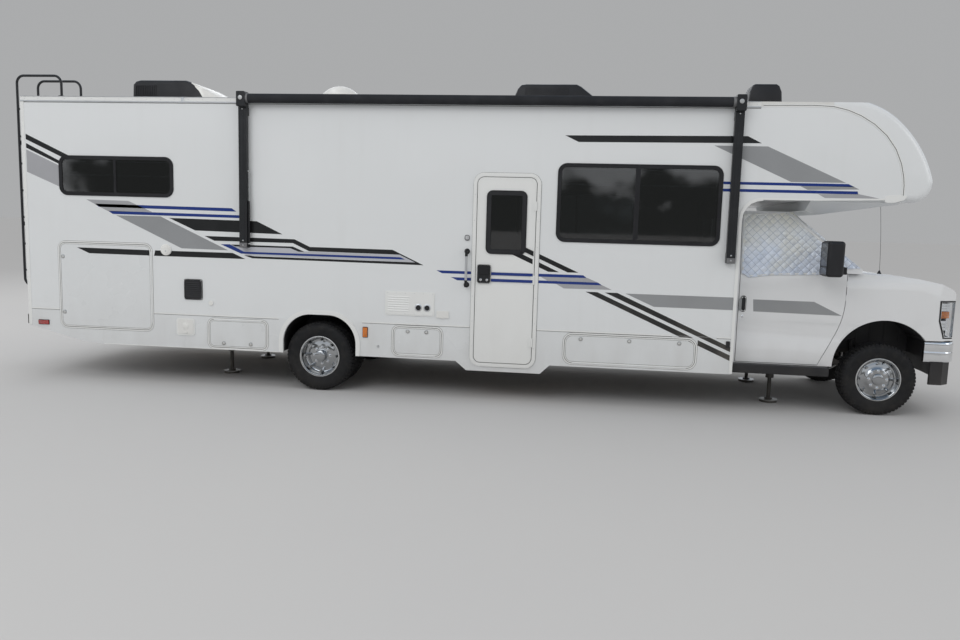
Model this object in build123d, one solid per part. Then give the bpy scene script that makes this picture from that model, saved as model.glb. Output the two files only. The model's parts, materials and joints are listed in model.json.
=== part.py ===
"""Motorhome with a cab-over sleeping berth, built on a cutaway van chassis.

Units are millimetres. X runs forward from the rear axle while the pieces are made, Y runs to
the left and Z up from the ground. Every piece is moved by ORIGIN_X when it is written, so that
the finished part stands over the middle of its own floor area.
"""
import os
from build123d import *

# Running gear
WHEELBASE = 5664
TYRE_R = 362
TYRE_W = 222
RIM_R = 203
RIM_W = 190
DUAL_SPACING = 296
REAR_TWIN_Y = 976
FRONT_TRACK_Y = 878
KINGPIN_Y = 740
ARCH_GAP = 96
FRAME_RAIL_Y = 430
FRAME_RAIL_H = 210
FLOOR_UNDER = 762
FRAME_RAIL_Z = FLOOR_UNDER - FRAME_RAIL_H
RAIL_WIDTH = 75
RAIL_WALL = 8
RAIL_INSIDE = FRAME_RAIL_Y + RAIL_WIDTH / 2 - RAIL_WALL
RAIL_FRONT = WHEELBASE + 396

# Coach
COACH_HALF = 1265
OUTSIDE_Y = -COACH_HALF - 135
SKIN_Y = -COACH_HALF + 65
COACH_REAR = -3270
COACH_FRONT = WHEELBASE - 1474
WALL = 42
SKIRT_WALL = 20
SKIRT_BOTTOM = 395
SKIRT_TOP = 753
FLOOR_TOP = 870
ROOF_EDGE = 2955
ROOF_CROWN = 62
ROOF_THICK = 48
LIP_Z = 2098
PANEL_GAP = 6

# Cab
CAB_HALF = 1008
CAB_TUMBLE = 105
CAB_SKIN = 38
CAB_SILL = 478
CAB_ROOF = 1995
BELT_Z = 1345
SWAGE = 6
SWAGE_Z = (735, 749, 890, 914)
DOOR_REAR = WHEELBASE - 1402
DOOR_FRONT = WHEELBASE - 378
DOOR_THICK = 62
HOOD_HALF = 770
NOSE_X = WHEELBASE + 736
BUMPER_X = NOSE_X + 50

# Fittings
GLASS = 6
LADDER_TUBE = 13
LADDER_OFFSET = 135
LADDER_INSET = 135
LADDER_WIDTH = 330
LADDER_REACH = 380
LADDER_RISE = 280
AWNING_ROLL_R = 46
AWNING_OUT = 120
AWNING_REAR = -778
AWNING_FRONT = COACH_FRONT - 89
MIRROR_REACH = 1400
MIRROR_HEAD = 235
REAR_REACH = COACH_REAR - LADDER_OFFSET - LADDER_TUBE
ORIGIN_X = (BUMPER_X + REAR_REACH) / 2

os.makedirs("parts", exist_ok=True)


def box(x0, x1, y0, y1, z0, z1):
    """Block between two corners."""
    return Pos((x0 + x1) / 2, (y0 + y1) / 2, (z0 + z1) / 2) * Box(x1 - x0, y1 - y0, z1 - z0)


def side_prism(sketch, y0, y1):
    """Sketch drawn as (x, z), run across the vehicle from y0 to y1."""
    return extrude(Plane.XZ.offset(-y0) * sketch, amount=y1 - y0, dir=(0, 1, 0))


def plan_prism(sketch, z0, z1):
    """Sketch drawn as (x, y), run upwards from z0 to z1."""
    return extrude(Plane.XY.offset(z0) * sketch, amount=z1 - z0, dir=(0, 0, 1))


def end_prism(sketch, x0, x1):
    """Sketch drawn as (y, z), run along the vehicle from x0 to x1."""
    return extrude(Plane.YZ.offset(x0) * sketch, amount=x1 - x0, dir=(1, 0, 0))


def window_face(x0, x1, z0, z1, radius, inset=0):
    """Rounded rectangle as (x, z), drawn inwards by inset."""
    width, height = x1 - x0 - 2 * inset, z1 - z0 - 2 * inset
    return Pos((x0 + x1) / 2, (z0 + z1) / 2) * RectangleRounded(width, height, max(radius - inset, 2))


def outline(*points):
    return make_face(Polyline(*points, close=True))


def ahead(*points):
    """Points whose first number is measured forward from the front axle."""
    return [(WHEELBASE + x, other) for x, other in points]


def mirrored(shape):
    return mirror(shape, Plane.XZ)


def pair(shape):
    return [shape, mirrored(shape)]


def write(node, *solids):
    """Save one node with its pieces moved to the part's own origin."""
    moved = [Pos(-ORIGIN_X, 0, 0) * solid for solid in solids]
    shape = moved[0] if len(moved) == 1 else Compound(children=moved)
    export_step(shape, f"parts/{node}.step")


# Coach walls

ROOF_TOP = ROOF_EDGE + ROOF_THICK
SEAM_TOP_X = WHEELBASE - 714
SEAM_X = WHEELBASE - 36
SEAM_ARC_Z = 2250
BEHIND_DROP = 98
BEHIND_RISE = 345
NOSE_RIM = 75
LIP_RISE = 27
CORNER_R = 182
ARCH_TOP = 810
ARCH_HALF = 392
ARCH_CORNER = 300
ARCH_SHIFT = 12
ARCH_RIM = 46
TAIL_Z = 565
STEP_BOTTOM = 304
ENTRY_X0, ENTRY_X1, ENTRY_Z0, ENTRY_Z1, ENTRY_R = 1596, 2268, 353, 2297, 108

# name, x0, x1, z0, z1, corner radius, mullion x
WINDOWS = {
    -1: [
        ("rear", -2856, -1568, 1976, 2393, 92, -2221),
        ("lounge", ENTRY_X1 + 157, COACH_FRONT - 192, 1637, 2404, 90, ENTRY_X1 + 920),
    ],
    1: [
        ("rear", -2856, -1568, 1976, 2393, 92, -2221),
        ("bath", -330, 330, 1976, 2393, 92, 0),
        ("lounge", COACH_FRONT - 2370, COACH_FRONT - 797, 1637, 2404, 90, COACH_FRONT - 1584),
    ],
}
# name, x0, x1, z0, z1, corner radius, hinge edge, side
HATCHES = [
    ("hatch_rear_right", -2890, -1835, 562, 1478, 75, "front", -1),
    ("hatch_axle_right", -1204, -555, 412, 714, 62, "top", -1),
    ("hatch_step_right", 796, 1305, 428, 724, 62, "bottom", -1),
    ("hatch_front_right", ENTRY_X1 + 282, COACH_FRONT - 352, 430, 726, 85, "bottom", -1),
    ("hatch_front_left", ENTRY_X1 + 282, COACH_FRONT - 352, 430, 726, 85, "bottom", 1),
]
HATCH_THICK = 14
HATCH_PROUD = 2
HINGE_R = 4.7
SEAT_GAP = 0.3
TUB_WALL = 6
TUB_DEPTH = 600

ENTRY_FLANGE = 38
ENTRY_PROUD = 12
ENTRY_THICK = 36
ENTRY_HINGE_R = 8
ENTRY_HINGE_Z = (620, 1250, 1980)
DOOR_WINDOW = (1735, 2134, 1499, 2124, 58)


def arch_face(grow=0):
    """Rear wheel arch as (x, z), open below the skirt."""
    return window_face(ARCH_SHIFT - ARCH_HALF - grow, ARCH_SHIFT + ARCH_HALF + grow,
                       ARCH_TOP - 700, ARCH_TOP + grow, ARCH_CORNER + grow)


def seam_arc():
    """Front edge of the side wall, where the moulded nose begins."""
    return ThreePointArc((SEAM_TOP_X, ROOF_EDGE), (SEAM_X - 238, 2765), (SEAM_X, SEAM_ARC_Z))


def wall_face():
    """Side wall as (x, z), with its tongue beside the berth."""
    edge = [
        Polyline((COACH_FRONT + CORNER_R, LIP_Z), (SEAM_X, LIP_Z + LIP_RISE), (SEAM_X, SEAM_ARC_Z)),
        seam_arc(),
        Polyline((SEAM_TOP_X, ROOF_EDGE), (COACH_REAR, ROOF_EDGE), (COACH_REAR, SKIRT_TOP),
                 (COACH_FRONT, SKIRT_TOP), (COACH_FRONT, LIP_Z - CORNER_R)),
        RadiusArc((COACH_FRONT, LIP_Z - CORNER_R), (COACH_FRONT + CORNER_R, LIP_Z), CORNER_R),
    ]
    return make_face(edge)


def skirt_face(side):
    """Lower panel as (x, z). The entry side drops round the door."""
    points = [(COACH_REAR, SKIRT_TOP), (COACH_REAR, TAIL_Z), (COACH_REAR + 630, 411),
              (COACH_REAR + 870, SKIRT_BOTTOM)]
    if side < 0:
        points += [(ENTRY_X0 - 142, SKIRT_BOTTOM), (ENTRY_X0 - 33, STEP_BOTTOM),
                   (ENTRY_X1 + 50, STEP_BOTTOM), (ENTRY_X1 + 144, SKIRT_BOTTOM)]
    points += [(COACH_FRONT, SKIRT_BOTTOM), (COACH_FRONT, SKIRT_TOP)]
    return outline(*points)


def wall_cuts(side):
    """Every hole through one side of the coach."""
    faces = [window_face(x0, x1, z0, z1, r, 14) for _, x0, x1, z0, z1, r, _ in WINDOWS[side]]
    faces += [window_face(x0, x1, z0, z1, r) for _, x0, x1, z0, z1, r, _, s in HATCHES if s == side]
    faces.append(arch_face())
    if side < 0:
        faces.append(window_face(ENTRY_X0, ENTRY_X1, ENTRY_Z0, ENTRY_Z1, ENTRY_R, 12))
    return [side_prism(face, side * COACH_HALF - 60, side * COACH_HALF + 60) for face in faces]


def side_wall(side):
    y_out, y_in = side * COACH_HALF, side * (COACH_HALF - WALL)
    return side_prism(wall_face(), min(y_out, y_in), max(y_out, y_in)) - wall_cuts(side)


def skirt(side):
    y_out, y_in = side * COACH_HALF, side * (COACH_HALF - SKIRT_WALL)
    return side_prism(skirt_face(side), min(y_out, y_in), max(y_out, y_in)) - wall_cuts(side)


def crown_face(half, edge_z, bottom_z, foot_half):
    """Cross-section as (y, z) with the roof's crowned top edge."""
    return make_face([
        Polyline((-half, edge_z), (-half, SKIRT_TOP), (-foot_half, SKIRT_TOP), (-foot_half, bottom_z),
                 (foot_half, bottom_z), (foot_half, SKIRT_TOP), (half, SKIRT_TOP), (half, edge_z)),
        ThreePointArc((half, edge_z), (0, edge_z + ROOF_CROWN), (-half, edge_z)),
    ])


def roof_panel():
    inner = COACH_HALF - WALL
    section = make_face([
        Line((-COACH_HALF, ROOF_EDGE), (-COACH_HALF, ROOF_TOP)),
        ThreePointArc((-COACH_HALF, ROOF_TOP), (0, ROOF_TOP + ROOF_CROWN), (COACH_HALF, ROOF_TOP)),
        Polyline((COACH_HALF, ROOF_TOP), (COACH_HALF, ROOF_EDGE), (inner, ROOF_EDGE)),
        ThreePointArc((inner, ROOF_EDGE), (0, ROOF_EDGE + ROOF_CROWN), (-inner, ROOF_EDGE)),
        Line((-inner, ROOF_EDGE), (-COACH_HALF, ROOF_EDGE)),
    ])
    return end_prism(section, COACH_REAR, SEAM_TOP_X)


def rear_wall():
    face = crown_face(COACH_HALF - WALL, ROOF_EDGE, TAIL_Z, COACH_HALF - SKIRT_WALL)
    wall = end_prism(face, COACH_REAR, COACH_REAR + WALL)
    return wall - box(COACH_REAR - 50, COACH_REAR + 50, -490, 490, 500, 672)


def front_bulkhead():
    inner, foot = COACH_HALF - WALL, COACH_HALF - SKIRT_WALL
    face = outline((-inner, LIP_Z), (-inner, SKIRT_TOP), (-foot, SKIRT_TOP), (-foot, SKIRT_BOTTOM + 5),
                   (foot, SKIRT_BOTTOM + 5), (foot, SKIRT_TOP), (inner, SKIRT_TOP), (inner, LIP_Z))
    wall = end_prism(face, COACH_FRONT - WALL, COACH_FRONT)
    walk_through = box(COACH_FRONT - 2 * WALL, COACH_FRONT + WALL, -760, 760, FLOOR_TOP, 1930)
    under = box(COACH_FRONT - 2 * WALL, COACH_FRONT + WALL, -720, 720, 0, FLOOR_UNDER)
    return wall - walk_through - under


def nose_face(inset=0):
    """Side view of the berth's nose as (x, z), in arcs that run into each other."""
    top, shoulder, tip, foot = ahead((-614, ROOF_TOP + 42), (-104, 2850), (229, 2324), (76, LIP_Z))
    brow = TangentArc(top, shoulder, tangent=(1, 0))
    front = TangentArc(shoulder, tip, tangent=brow % 1)
    chin = TangentArc(tip, foot, tangent=front % 1)
    back = Polyline(foot, (SEAM_TOP_X - 900, LIP_Z), (SEAM_TOP_X - 900, top[1]), top)
    face = make_face([brow, front, chin, back])
    return offset(face, -inset) if inset else face


def behind_seam():
    """Everything aft of the moulded nose, as (x, z)."""
    back, below, above = SEAM_TOP_X - 1450, LIP_Z - BEHIND_DROP, ROOF_EDGE + BEHIND_RISE
    return make_face([
        Polyline((SEAM_X, SEAM_ARC_Z), (SEAM_X, below), (back, below), (back, above), (SEAM_TOP_X, above),
                 (SEAM_TOP_X, ROOF_EDGE)),
        seam_arc(),
    ])


def nose_cap():
    """Hollow moulded nose, rounded round its rim."""
    outer = side_prism(nose_face(), -COACH_HALF, COACH_HALF)
    edges = outer.edges().filter_by(lambda e: abs(e.center().Y) > COACH_HALF - 1)
    rim = edges.filter_by(lambda e: e.center().X > SEAM_TOP_X - 890)
    outer = fillet(rim, NOSE_RIM)
    inner = side_prism(nose_face(WALL), -(COACH_HALF - WALL), COACH_HALF - WALL)
    crown = crown_face(COACH_HALF, ROOF_TOP, TAIL_Z, COACH_HALF - 1)
    crown = end_prism(crown, SEAM_TOP_X - 950, SEAM_X + 500)
    return (outer & crown) - inner - side_prism(behind_seam(), -COACH_HALF - 5, COACH_HALF + 5)


def berth_floor():
    """Berth floor with the keel-shaped fairing that closes it above the windscreen."""
    slab = box(COACH_FRONT - WALL, SEAM_X, -(COACH_HALF - WALL), COACH_HALF - WALL, LIP_Z, LIP_Z + WALL)
    back, low = SEAM_X - 798, SEAM_X - 678
    wide, narrow = COACH_HALF - 75, COACH_HALF - 335
    keel = side_prism(outline((back, LIP_Z), (back, 2008), (low, 1970), (SEAM_X, 2080), (SEAM_X, LIP_Z)),
                      -wide + 10, wide - 10)
    taper = outline((-wide, LIP_Z), (-narrow, 1960), (narrow, 1960), (wide, LIP_Z))
    taper = end_prism(taper, back - 130, SEAM_X)
    return slab + (keel & taper)


def coach_floor():
    """Sandwich floor with the entry step well built in."""
    inner = COACH_HALF - WALL
    floor = box(COACH_REAR + WALL, COACH_FRONT - WALL, -inner, inner, FLOOR_UNDER, FLOOR_TOP)
    arch = side_prism(arch_face(8), -(COACH_HALF), -620)
    floor = floor - arch - mirrored(arch)
    for _, x0, x1, z0, z1, radius, _, side in HATCHES:
        if z1 > SKIRT_TOP:
            floor -= side_prism(window_face(x0, x1, z0, z1, radius, -TUB_WALL), -COACH_HALF,
                                -COACH_HALF + WALL + TUB_DEPTH)
    x0, x1 = ENTRY_X0 + 20, ENTRY_X1 - 20
    y0, y1 = -inner, -COACH_HALF + 475
    floor -= box(x0, x1, y0 - 1, y1, SKIRT_TOP, FLOOR_TOP + 1)
    well = box(x0, x1, y0, y1, STEP_BOTTOM + 36, FLOOR_TOP)
    well -= box(x0 + 12, x1 - 12, y0 - 1, y1 - 12, ENTRY_Z0 + 20, FLOOR_TOP + 1)
    tread = box(x0, x1, y1 - 220, y1, STEP_BOTTOM + 36, 620)
    return floor + well + tread


def window_frames():
    """Flanged frames with their centre bars, all openings."""
    frames = []
    for side, rows in WINDOWS.items():
        for _, x0, x1, z0, z1, radius, bar_x in rows:
            face, hole = window_face(x0, x1, z0, z1, radius), window_face(x0, x1, z0, z1, radius, 34)
            sleeve = window_face(x0, x1, z0, z1, radius, 14)
            ring = side_prism(face - hole, -COACH_HALF - 8, -COACH_HALF)
            ring += side_prism(sleeve - hole, -COACH_HALF, -(COACH_HALF - WALL))
            ring += box(bar_x - 14, bar_x + 14, -COACH_HALF - 6, -COACH_HALF + 20, z0 + 30, z1 - 30)
            frames.append(ring if side < 0 else mirrored(ring))
    return frames


def window_glass():
    """Two panes for each opening, one each side of its bar."""
    panes = []
    for side, rows in WINDOWS.items():
        for _, x0, x1, z0, z1, radius, bar_x in rows:
            outer = -COACH_HALF - 2
            pane = side_prism(window_face(x0, x1, z0, z1, radius, 34), outer, outer + GLASS)
            for part in (pane - box(bar_x - 14, x1, OUTSIDE_Y, SKIN_Y, z0, z1),
                         pane - box(x0, bar_x + 14, OUTSIDE_Y, SKIN_Y, z0, z1)):
                panes.append(part if side < 0 else mirrored(part))
    return panes


def storage_tubs():
    """Moulded compartments behind the hatches, open to the outside."""
    tubs = []
    for _, x0, x1, z0, z1, radius, _, side in HATCHES:
        mouth = COACH_HALF - (WALL if z1 > SKIRT_TOP else SKIRT_WALL)
        outer = side_prism(window_face(x0, x1, z0, z1, radius, -TUB_WALL), -mouth, -mouth + TUB_DEPTH)
        inner = side_prism(window_face(x0, x1, z0, z1, radius), -mouth - 1, -mouth + TUB_DEPTH - TUB_WALL)
        tubs.append(outer - inner if side < 0 else mirrored(outer - inner))
    return tubs


def wheel_wells():
    outer = side_prism(arch_face(8), -(COACH_HALF - SKIRT_WALL), -620)
    inner = side_prism(arch_face(2), -COACH_HALF, -626)
    well = outer - inner - box(-600, 600, -1300, -500, 0, SKIRT_BOTTOM + 10)
    well -= box(-600, 600, -COACH_HALF, -(COACH_HALF - WALL), SKIRT_TOP, 1000)
    well -= box(-110, 110, -700, -500, 0, 480)
    return pair(well)


def entry_frame():
    """Flanged door frame set into the wall."""
    clear = ENTRY_FLANGE
    flange = window_face(ENTRY_X0, ENTRY_X1, ENTRY_Z0, ENTRY_Z1, ENTRY_R)
    sleeve = window_face(ENTRY_X0, ENTRY_X1, ENTRY_Z0, ENTRY_Z1, ENTRY_R, 12)
    hole = window_face(ENTRY_X0, ENTRY_X1, ENTRY_Z0, ENTRY_Z1, ENTRY_R, clear)
    frame = side_prism(flange - hole, -COACH_HALF - ENTRY_PROUD, -COACH_HALF)
    return frame + side_prism(sleeve - hole, -COACH_HALF, -(COACH_HALF - WALL))


def entry_leaf():
    inset = ENTRY_FLANGE + PANEL_GAP
    face = window_face(ENTRY_X0, ENTRY_X1, ENTRY_Z0, ENTRY_Z1, ENTRY_R, inset)
    x0, x1, z0, z1, radius = DOOR_WINDOW
    leaf = side_prism(face, -COACH_HALF - ENTRY_PROUD, -COACH_HALF - ENTRY_PROUD + ENTRY_THICK)
    leaf -= side_prism(window_face(x0, x1, z0, z1, radius, 20), OUTSIDE_Y, SKIN_Y + 100)
    surround = window_face(x0, x1, z0, z1, radius) - window_face(x0, x1, z0, z1, radius, 42)
    leaf += side_prism(surround, -COACH_HALF - ENTRY_PROUD - 8, -COACH_HALF - ENTRY_PROUD)
    handle = window_face(1657, 1792, 1203, 1389, 22)
    leaf += side_prism(handle, -COACH_HALF - ENTRY_PROUD - 18, -COACH_HALF - ENTRY_PROUD)
    axis_x, outer = ENTRY_X1 - ENTRY_FLANGE - PANEL_GAP / 2, -COACH_HALF - ENTRY_PROUD
    for z in ENTRY_HINGE_Z:
        leaf += Pos(axis_x, outer - ENTRY_HINGE_R - SEAT_GAP, z) * Cylinder(ENTRY_HINGE_R, 90)
        leaf += box(axis_x - 30, axis_x, outer - ENTRY_HINGE_R, outer, z - 45, z + 45)
    return leaf


def entry_glass():
    x0, x1, z0, z1, radius = DOOR_WINDOW
    outer = -COACH_HALF - ENTRY_PROUD
    return side_prism(window_face(x0, x1, z0, z1, radius, 20), outer + 1, outer + 1 + GLASS)


def hatch(row):
    """Flush hatch panel with its piano hinge along one edge."""
    _, x0, x1, z0, z1, radius, edge, side = row
    face = window_face(x0, x1, z0, z1, radius, PANEL_GAP)
    panel = side_prism(face, -COACH_HALF - HATCH_PROUD, -COACH_HALF - HATCH_PROUD + HATCH_THICK)
    y = -COACH_HALF - ((HINGE_R + SEAT_GAP) ** 2 - (PANEL_GAP / 2) ** 2) ** 0.5
    if edge == "front":
        length = z1 - z0 - 2 * radius
        knuckles = Pos(x1 - PANEL_GAP / 2, y, (z0 + z1) / 2) * Cylinder(HINGE_R, length)
    else:
        length, z = x1 - x0 - 2 * radius, z1 - PANEL_GAP / 2 if edge == "top" else z0 + PANEL_GAP / 2
        knuckles = Pos((x0 + x1) / 2, y, z) * Rot(0, 90, 0) * Cylinder(HINGE_R, length)
    panel += knuckles
    return panel if side < 0 else mirrored(panel)


def build_coach():
    write("side_wall_right", side_wall(-1))
    write("side_wall_left", side_wall(1))
    write("skirts", skirt(-1), skirt(1))
    write("roof_panel", roof_panel())
    write("rear_wall", rear_wall())
    write("front_bulkhead", front_bulkhead())
    write("nose_cap", nose_cap())
    write("berth_floor", berth_floor())
    write("coach_floor", coach_floor())
    write("window_frames", *window_frames())
    write("window_glass", *window_glass(), windscreen())
    write("storage_tubs", *storage_tubs())
    write("wheel_wells", *wheel_wells(), *pair(front_liner()))
    write("entry_frame", entry_frame())
    write("entry_leaf", entry_leaf())
    write("entry_glass", entry_glass())
    for row in HATCHES:
        write(row[0], hatch(row))


# Cab

DOOR_GAP = 6
SCREEN_TOP = (WHEELBASE - 919, CAB_ROOF)
SCREEN_BASE = (WHEELBASE - 243, 1446)
COWL_DROP = 41
COWL_UNDER = SCREEN_BASE[1] - COWL_DROP
FIREWALL_X = WHEELBASE - 374
CAB_FROM, CAB_TO = COACH_FRONT - 190, SCREEN_BASE[0] + 179
CAB_FLOOR_THICK = 38
CAB_FLOOR = FLOOR_UNDER + CAB_FLOOR_THICK
CLIP_SKIN = 26
SCREEN_HALF = 838
FRONT_ARCH = (WHEELBASE + 16, 480, 480)
LINER = 5
LINER_INSIDE = 520
HOOD_FRONT_Z = 1190
GRILLE_HALF = 640
LAMP_Z0, LAMP_Z1 = 815, 1156
BUMPER_HALF = 985
BUMPER_BOTTOM, BUMPER_TOP = 566, 768
BUMPER_WALL = 34
COVER_THICK = 11
COVER_GAP = 0.4
SEAT_Y = 400
DOOR_PIN_R = 2.85
HOOD_PIN_R = 3.85
HOOD_PIN_Z = SCREEN_BASE[1] - 8
CLIP_FROM, CLIP_TO = WHEELBASE - 664, NOSE_X + 200


def cab_face(inset=0):
    """Side view of the cab as (x, z)."""
    face = outline((COACH_FRONT, CAB_SILL), (COACH_FRONT, CAB_ROOF), SCREEN_TOP, SCREEN_BASE,
                   (SCREEN_BASE[0], COWL_UNDER), (FIREWALL_X, COWL_UNDER), (FIREWALL_X, CAB_SILL))
    return offset(face, -inset, kind=Kind.INTERSECTION) if inset else face


def swage_points(half, side):
    """Lower side of the body as (y, z), with the pressed band along it."""
    low, step_in, step_out, high = SWAGE_Z
    return [(side * half, 300), (side * half, low), (side * (half - SWAGE), step_in),
            (side * (half - SWAGE), step_out), (side * half, high)]


def cab_section(inset=0):
    """Front view of the cab as (y, z): upright to the belt, leaning in above it."""
    half, top = CAB_HALF - inset, CAB_HALF - CAB_TUMBLE - inset
    return outline(*swage_points(half, -1), (-half, BELT_Z), (-top, CAB_ROOF), (-top, CAB_ROOF + 60),
                   (top, CAB_ROOF + 60), (top, CAB_ROOF), (half, BELT_Z), *reversed(swage_points(half, 1)))


def cab_form(inset=0):
    return side_prism(cab_face(inset), -1200, 1200) & end_prism(cab_section(inset), CAB_FROM, CAB_TO)


def cab_side(outer, inner):
    """Both upright sides of the cab between two depths below its surface."""
    return end_prism(cab_section(outer), CAB_FROM, CAB_TO) - end_prism(cab_section(inner), CAB_FROM, CAB_TO)


def front_arch_cut(grow=0):
    """Round wheel opening through both sides of the front body."""
    x, z, radius = FRONT_ARCH
    hole = Pos(x, 0, z) * Rot(90, 0, 0) * Cylinder(radius + grow, 2600)
    return hole - box(x - 1000, x + 1000, -LINER_INSIDE, LINER_INSIDE, 0, 2000)


def door_face(inset=0):
    """Cab door as (x, z); its front edge follows the pillar and the wheel arch."""
    foot, head = CAB_SILL + DOOR_GAP, 1950
    corner = (DOOR_FRONT - 79, 787)
    face = make_face([
        Polyline(corner, (DOOR_FRONT - 224, foot), (DOOR_REAR, foot), (DOOR_REAR, head),
                 (DOOR_REAR + 428, head),
                 (DOOR_FRONT - 50, 1478), (DOOR_FRONT, 1400), (DOOR_FRONT, 1120)),
        ThreePointArc((DOOR_FRONT, 1120), (DOOR_FRONT - 26, 940), corner),
    ])
    return offset(face, -inset, kind=Kind.INTERSECTION) if inset else face


def door_window_face():
    low, high = BELT_Z + 43, 1885
    face = outline((DOOR_REAR + 78, low), (DOOR_REAR + 78, high), (DOOR_REAR + 398, high),
                   (DOOR_FRONT - 161, 1483), (DOOR_FRONT - 146, low))
    return fillet(face.vertices(), 26)


def screen_strip(low, high, half):
    """Slab parallel to the windscreen, between two distances outside its surface."""
    (x0, z0), (x1, z1) = SCREEN_TOP, SCREEN_BASE
    along = Vector(x1 - x0, z1 - z0).normalized()
    out = Vector(-along.Y, along.X)
    start, end = Vector(x0, z0) + along * 62, Vector(x1, z1) - along * 70
    corners = [start + out * low, end + out * low, end + out * high, start + out * high]
    return side_prism(outline(*[(p.X, p.Y) for p in corners]), -half, half)


def cab_shell():
    """Cab: roof, pillars, cowl, firewall, floor and sills, open at the back to the coach."""
    inside = box(CAB_FROM, CAB_TO, -1200, 1200, CAB_FLOOR, 2200)
    shell = cab_form() - (cab_form(CAB_SKIN) & inside)
    under_half = CAB_HALF - 108
    shell -= box(CAB_FROM, CAB_TO, -under_half, under_half, 400, CAB_FLOOR - CAB_FLOOR_THICK)
    shell -= box(CAB_FROM, COACH_FRONT + CAB_SKIN + 1, -865, 865, CAB_FLOOR, CAB_ROOF - CAB_SKIN)
    low = side_prism(door_face(), -1200, -CAB_HALF + DOOR_THICK + 8)
    high = side_prism(door_face(), -1200, -700) & inside
    hole = low + high
    return shell - hole - mirrored(hole) - screen_strip(-90, 60, SCREEN_HALF) - front_arch_cut()


def windscreen():
    return screen_strip(-10, -10 + GLASS, SCREEN_HALF)


def cab_door(side):
    door = cab_side(0, DOOR_THICK) & side_prism(door_face(DOOR_GAP), -1200, -500)
    door -= side_prism(door_window_face(), -1200, -500)
    handle = box(DOOR_REAR + 28, DOOR_REAR + 70, -CAB_HALF - 16, -CAB_HALF, 1003, 1143)
    door += handle
    edge = DOOR_FRONT - DOOR_GAP
    for z in (1165, 1305):
        door += Pos(edge + DOOR_PIN_R, -CAB_HALF, z) * Cylinder(DOOR_PIN_R, 60)
        door += box(edge - 4, edge + DOOR_PIN_R, -CAB_HALF, -CAB_HALF + 4, z - 30, z + 30)
    return door if side < 0 else mirrored(door)


def cab_glass(side):
    pane = cab_side(14, 14 + GLASS) & side_prism(door_window_face(), -1200, -500)
    return pane if side < 0 else mirrored(pane)


def mirror_unit(side):
    """Mirror head on its arm, carried by the door ahead of the window."""
    back, ahead_of, inner = DOOR_FRONT - 318, DOOR_FRONT - 81, MIRROR_HEAD - MIRROR_REACH
    low, high = BELT_Z + 60, BELT_Z + 130
    head = fillet(box(back, back + 154, -MIRROR_REACH, inner, BELT_Z + 40, BELT_Z + 377).edges(), 32)
    arm = box(back + 122, ahead_of, inner - 50, inner, low, high)
    arm += box(ahead_of - 55, ahead_of, inner - 5, -CAB_HALF + 40, low, high)
    unit = head + (arm - cab_form())
    return unit if side < 0 else mirrored(unit)


def cover_flap(side):
    """Side flap of the window cover, over the door glass."""
    face = outline((DOOR_REAR + 13, 1375), (DOOR_REAR + 13, 1965), (DOOR_REAR + 428, 1985),
                   (DOOR_FRONT - 81, 1575), (DOOR_FRONT - 71, 1500), (DOOR_FRONT - 246, 1496),
                   (DOOR_FRONT - 246, 1390), (DOOR_REAR + 298, 1368), (DOOR_REAR + 86, 1335))
    flap = cab_side(-COVER_THICK - COVER_GAP, -COVER_GAP) & side_prism(face, -1200, -500)
    return flap if side < 0 else mirrored(flap)


def screen_cover():
    return screen_strip(COVER_GAP, COVER_GAP + COVER_THICK, SCREEN_HALF + 12)


def clip_face(inset=0):
    """Side view of hood and wings as (x, z)."""
    cowl_x, cowl_z = SCREEN_BASE[0] + 8, COWL_UNDER - 6
    bonnet = ahead((-104, 1414), (289, 1376), (506, 1332), (636, 1275), (708, 1190))
    face = outline((FIREWALL_X, CAB_SILL + 6), (FIREWALL_X, cowl_z), (cowl_x, cowl_z), (cowl_x, HOOD_PIN_Z),
                   *bonnet, (NOSE_X, 1090), (NOSE_X - 6, 800), (NOSE_X - 28, 600), (NOSE_X - 500, 560))
    return offset(face, -inset, kind=Kind.INTERSECTION) if inset else face


def clip_plan(inset=0):
    """Top view of hood and wings as (x, y), with a bowed front."""
    corner = [(NOSE_X - 70, CAB_HALF - 78), (NOSE_X - 190, CAB_HALF - 23), (NOSE_X - 440, CAB_HALF),
              (FIREWALL_X - 50, CAB_HALF)]
    face = make_face([
        Polyline(*[(x, -y) for x, y in corner], *reversed(corner)),
        ThreePointArc(corner[0], (NOSE_X, 0), (corner[0][0], -corner[0][1])),
    ])
    return offset(face, -inset) if inset else face


def clip_section(inset=0):
    """Front view of hood and wings as (y, z), with rounded shoulders."""
    half, low, high, crown = CAB_HALF - inset, 1250, 1416 - inset, 1452 - inset
    return make_face([
        Polyline(*swage_points(half, -1), (-half, low)),
        ThreePointArc((-half, low), (-half + 34, 1350 - inset * 0.7), (-half + 128, high)),
        ThreePointArc((-half + 128, high), (0, crown), (half - 128, high)),
        ThreePointArc((half - 128, high), (half - 34, 1350 - inset * 0.7), (half, low)),
        Polyline((half, low), *reversed(swage_points(half, 1)), (-half, 300)),
    ])


def clip_form(inset=0):
    form = side_prism(clip_face(inset), -1200, 1200) & plan_prism(clip_plan(inset), 300, 1600)
    return form & end_prism(clip_section(inset), CLIP_FROM, CLIP_TO)


def clip_shell():
    return clip_form() - clip_form(CLIP_SKIN)


def hood_zone(inset=0):
    return box(SCREEN_BASE[0] + inset, CLIP_TO, -HOOD_HALF + inset, HOOD_HALF - inset,
               HOOD_FRONT_Z + inset, 1600)


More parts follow.
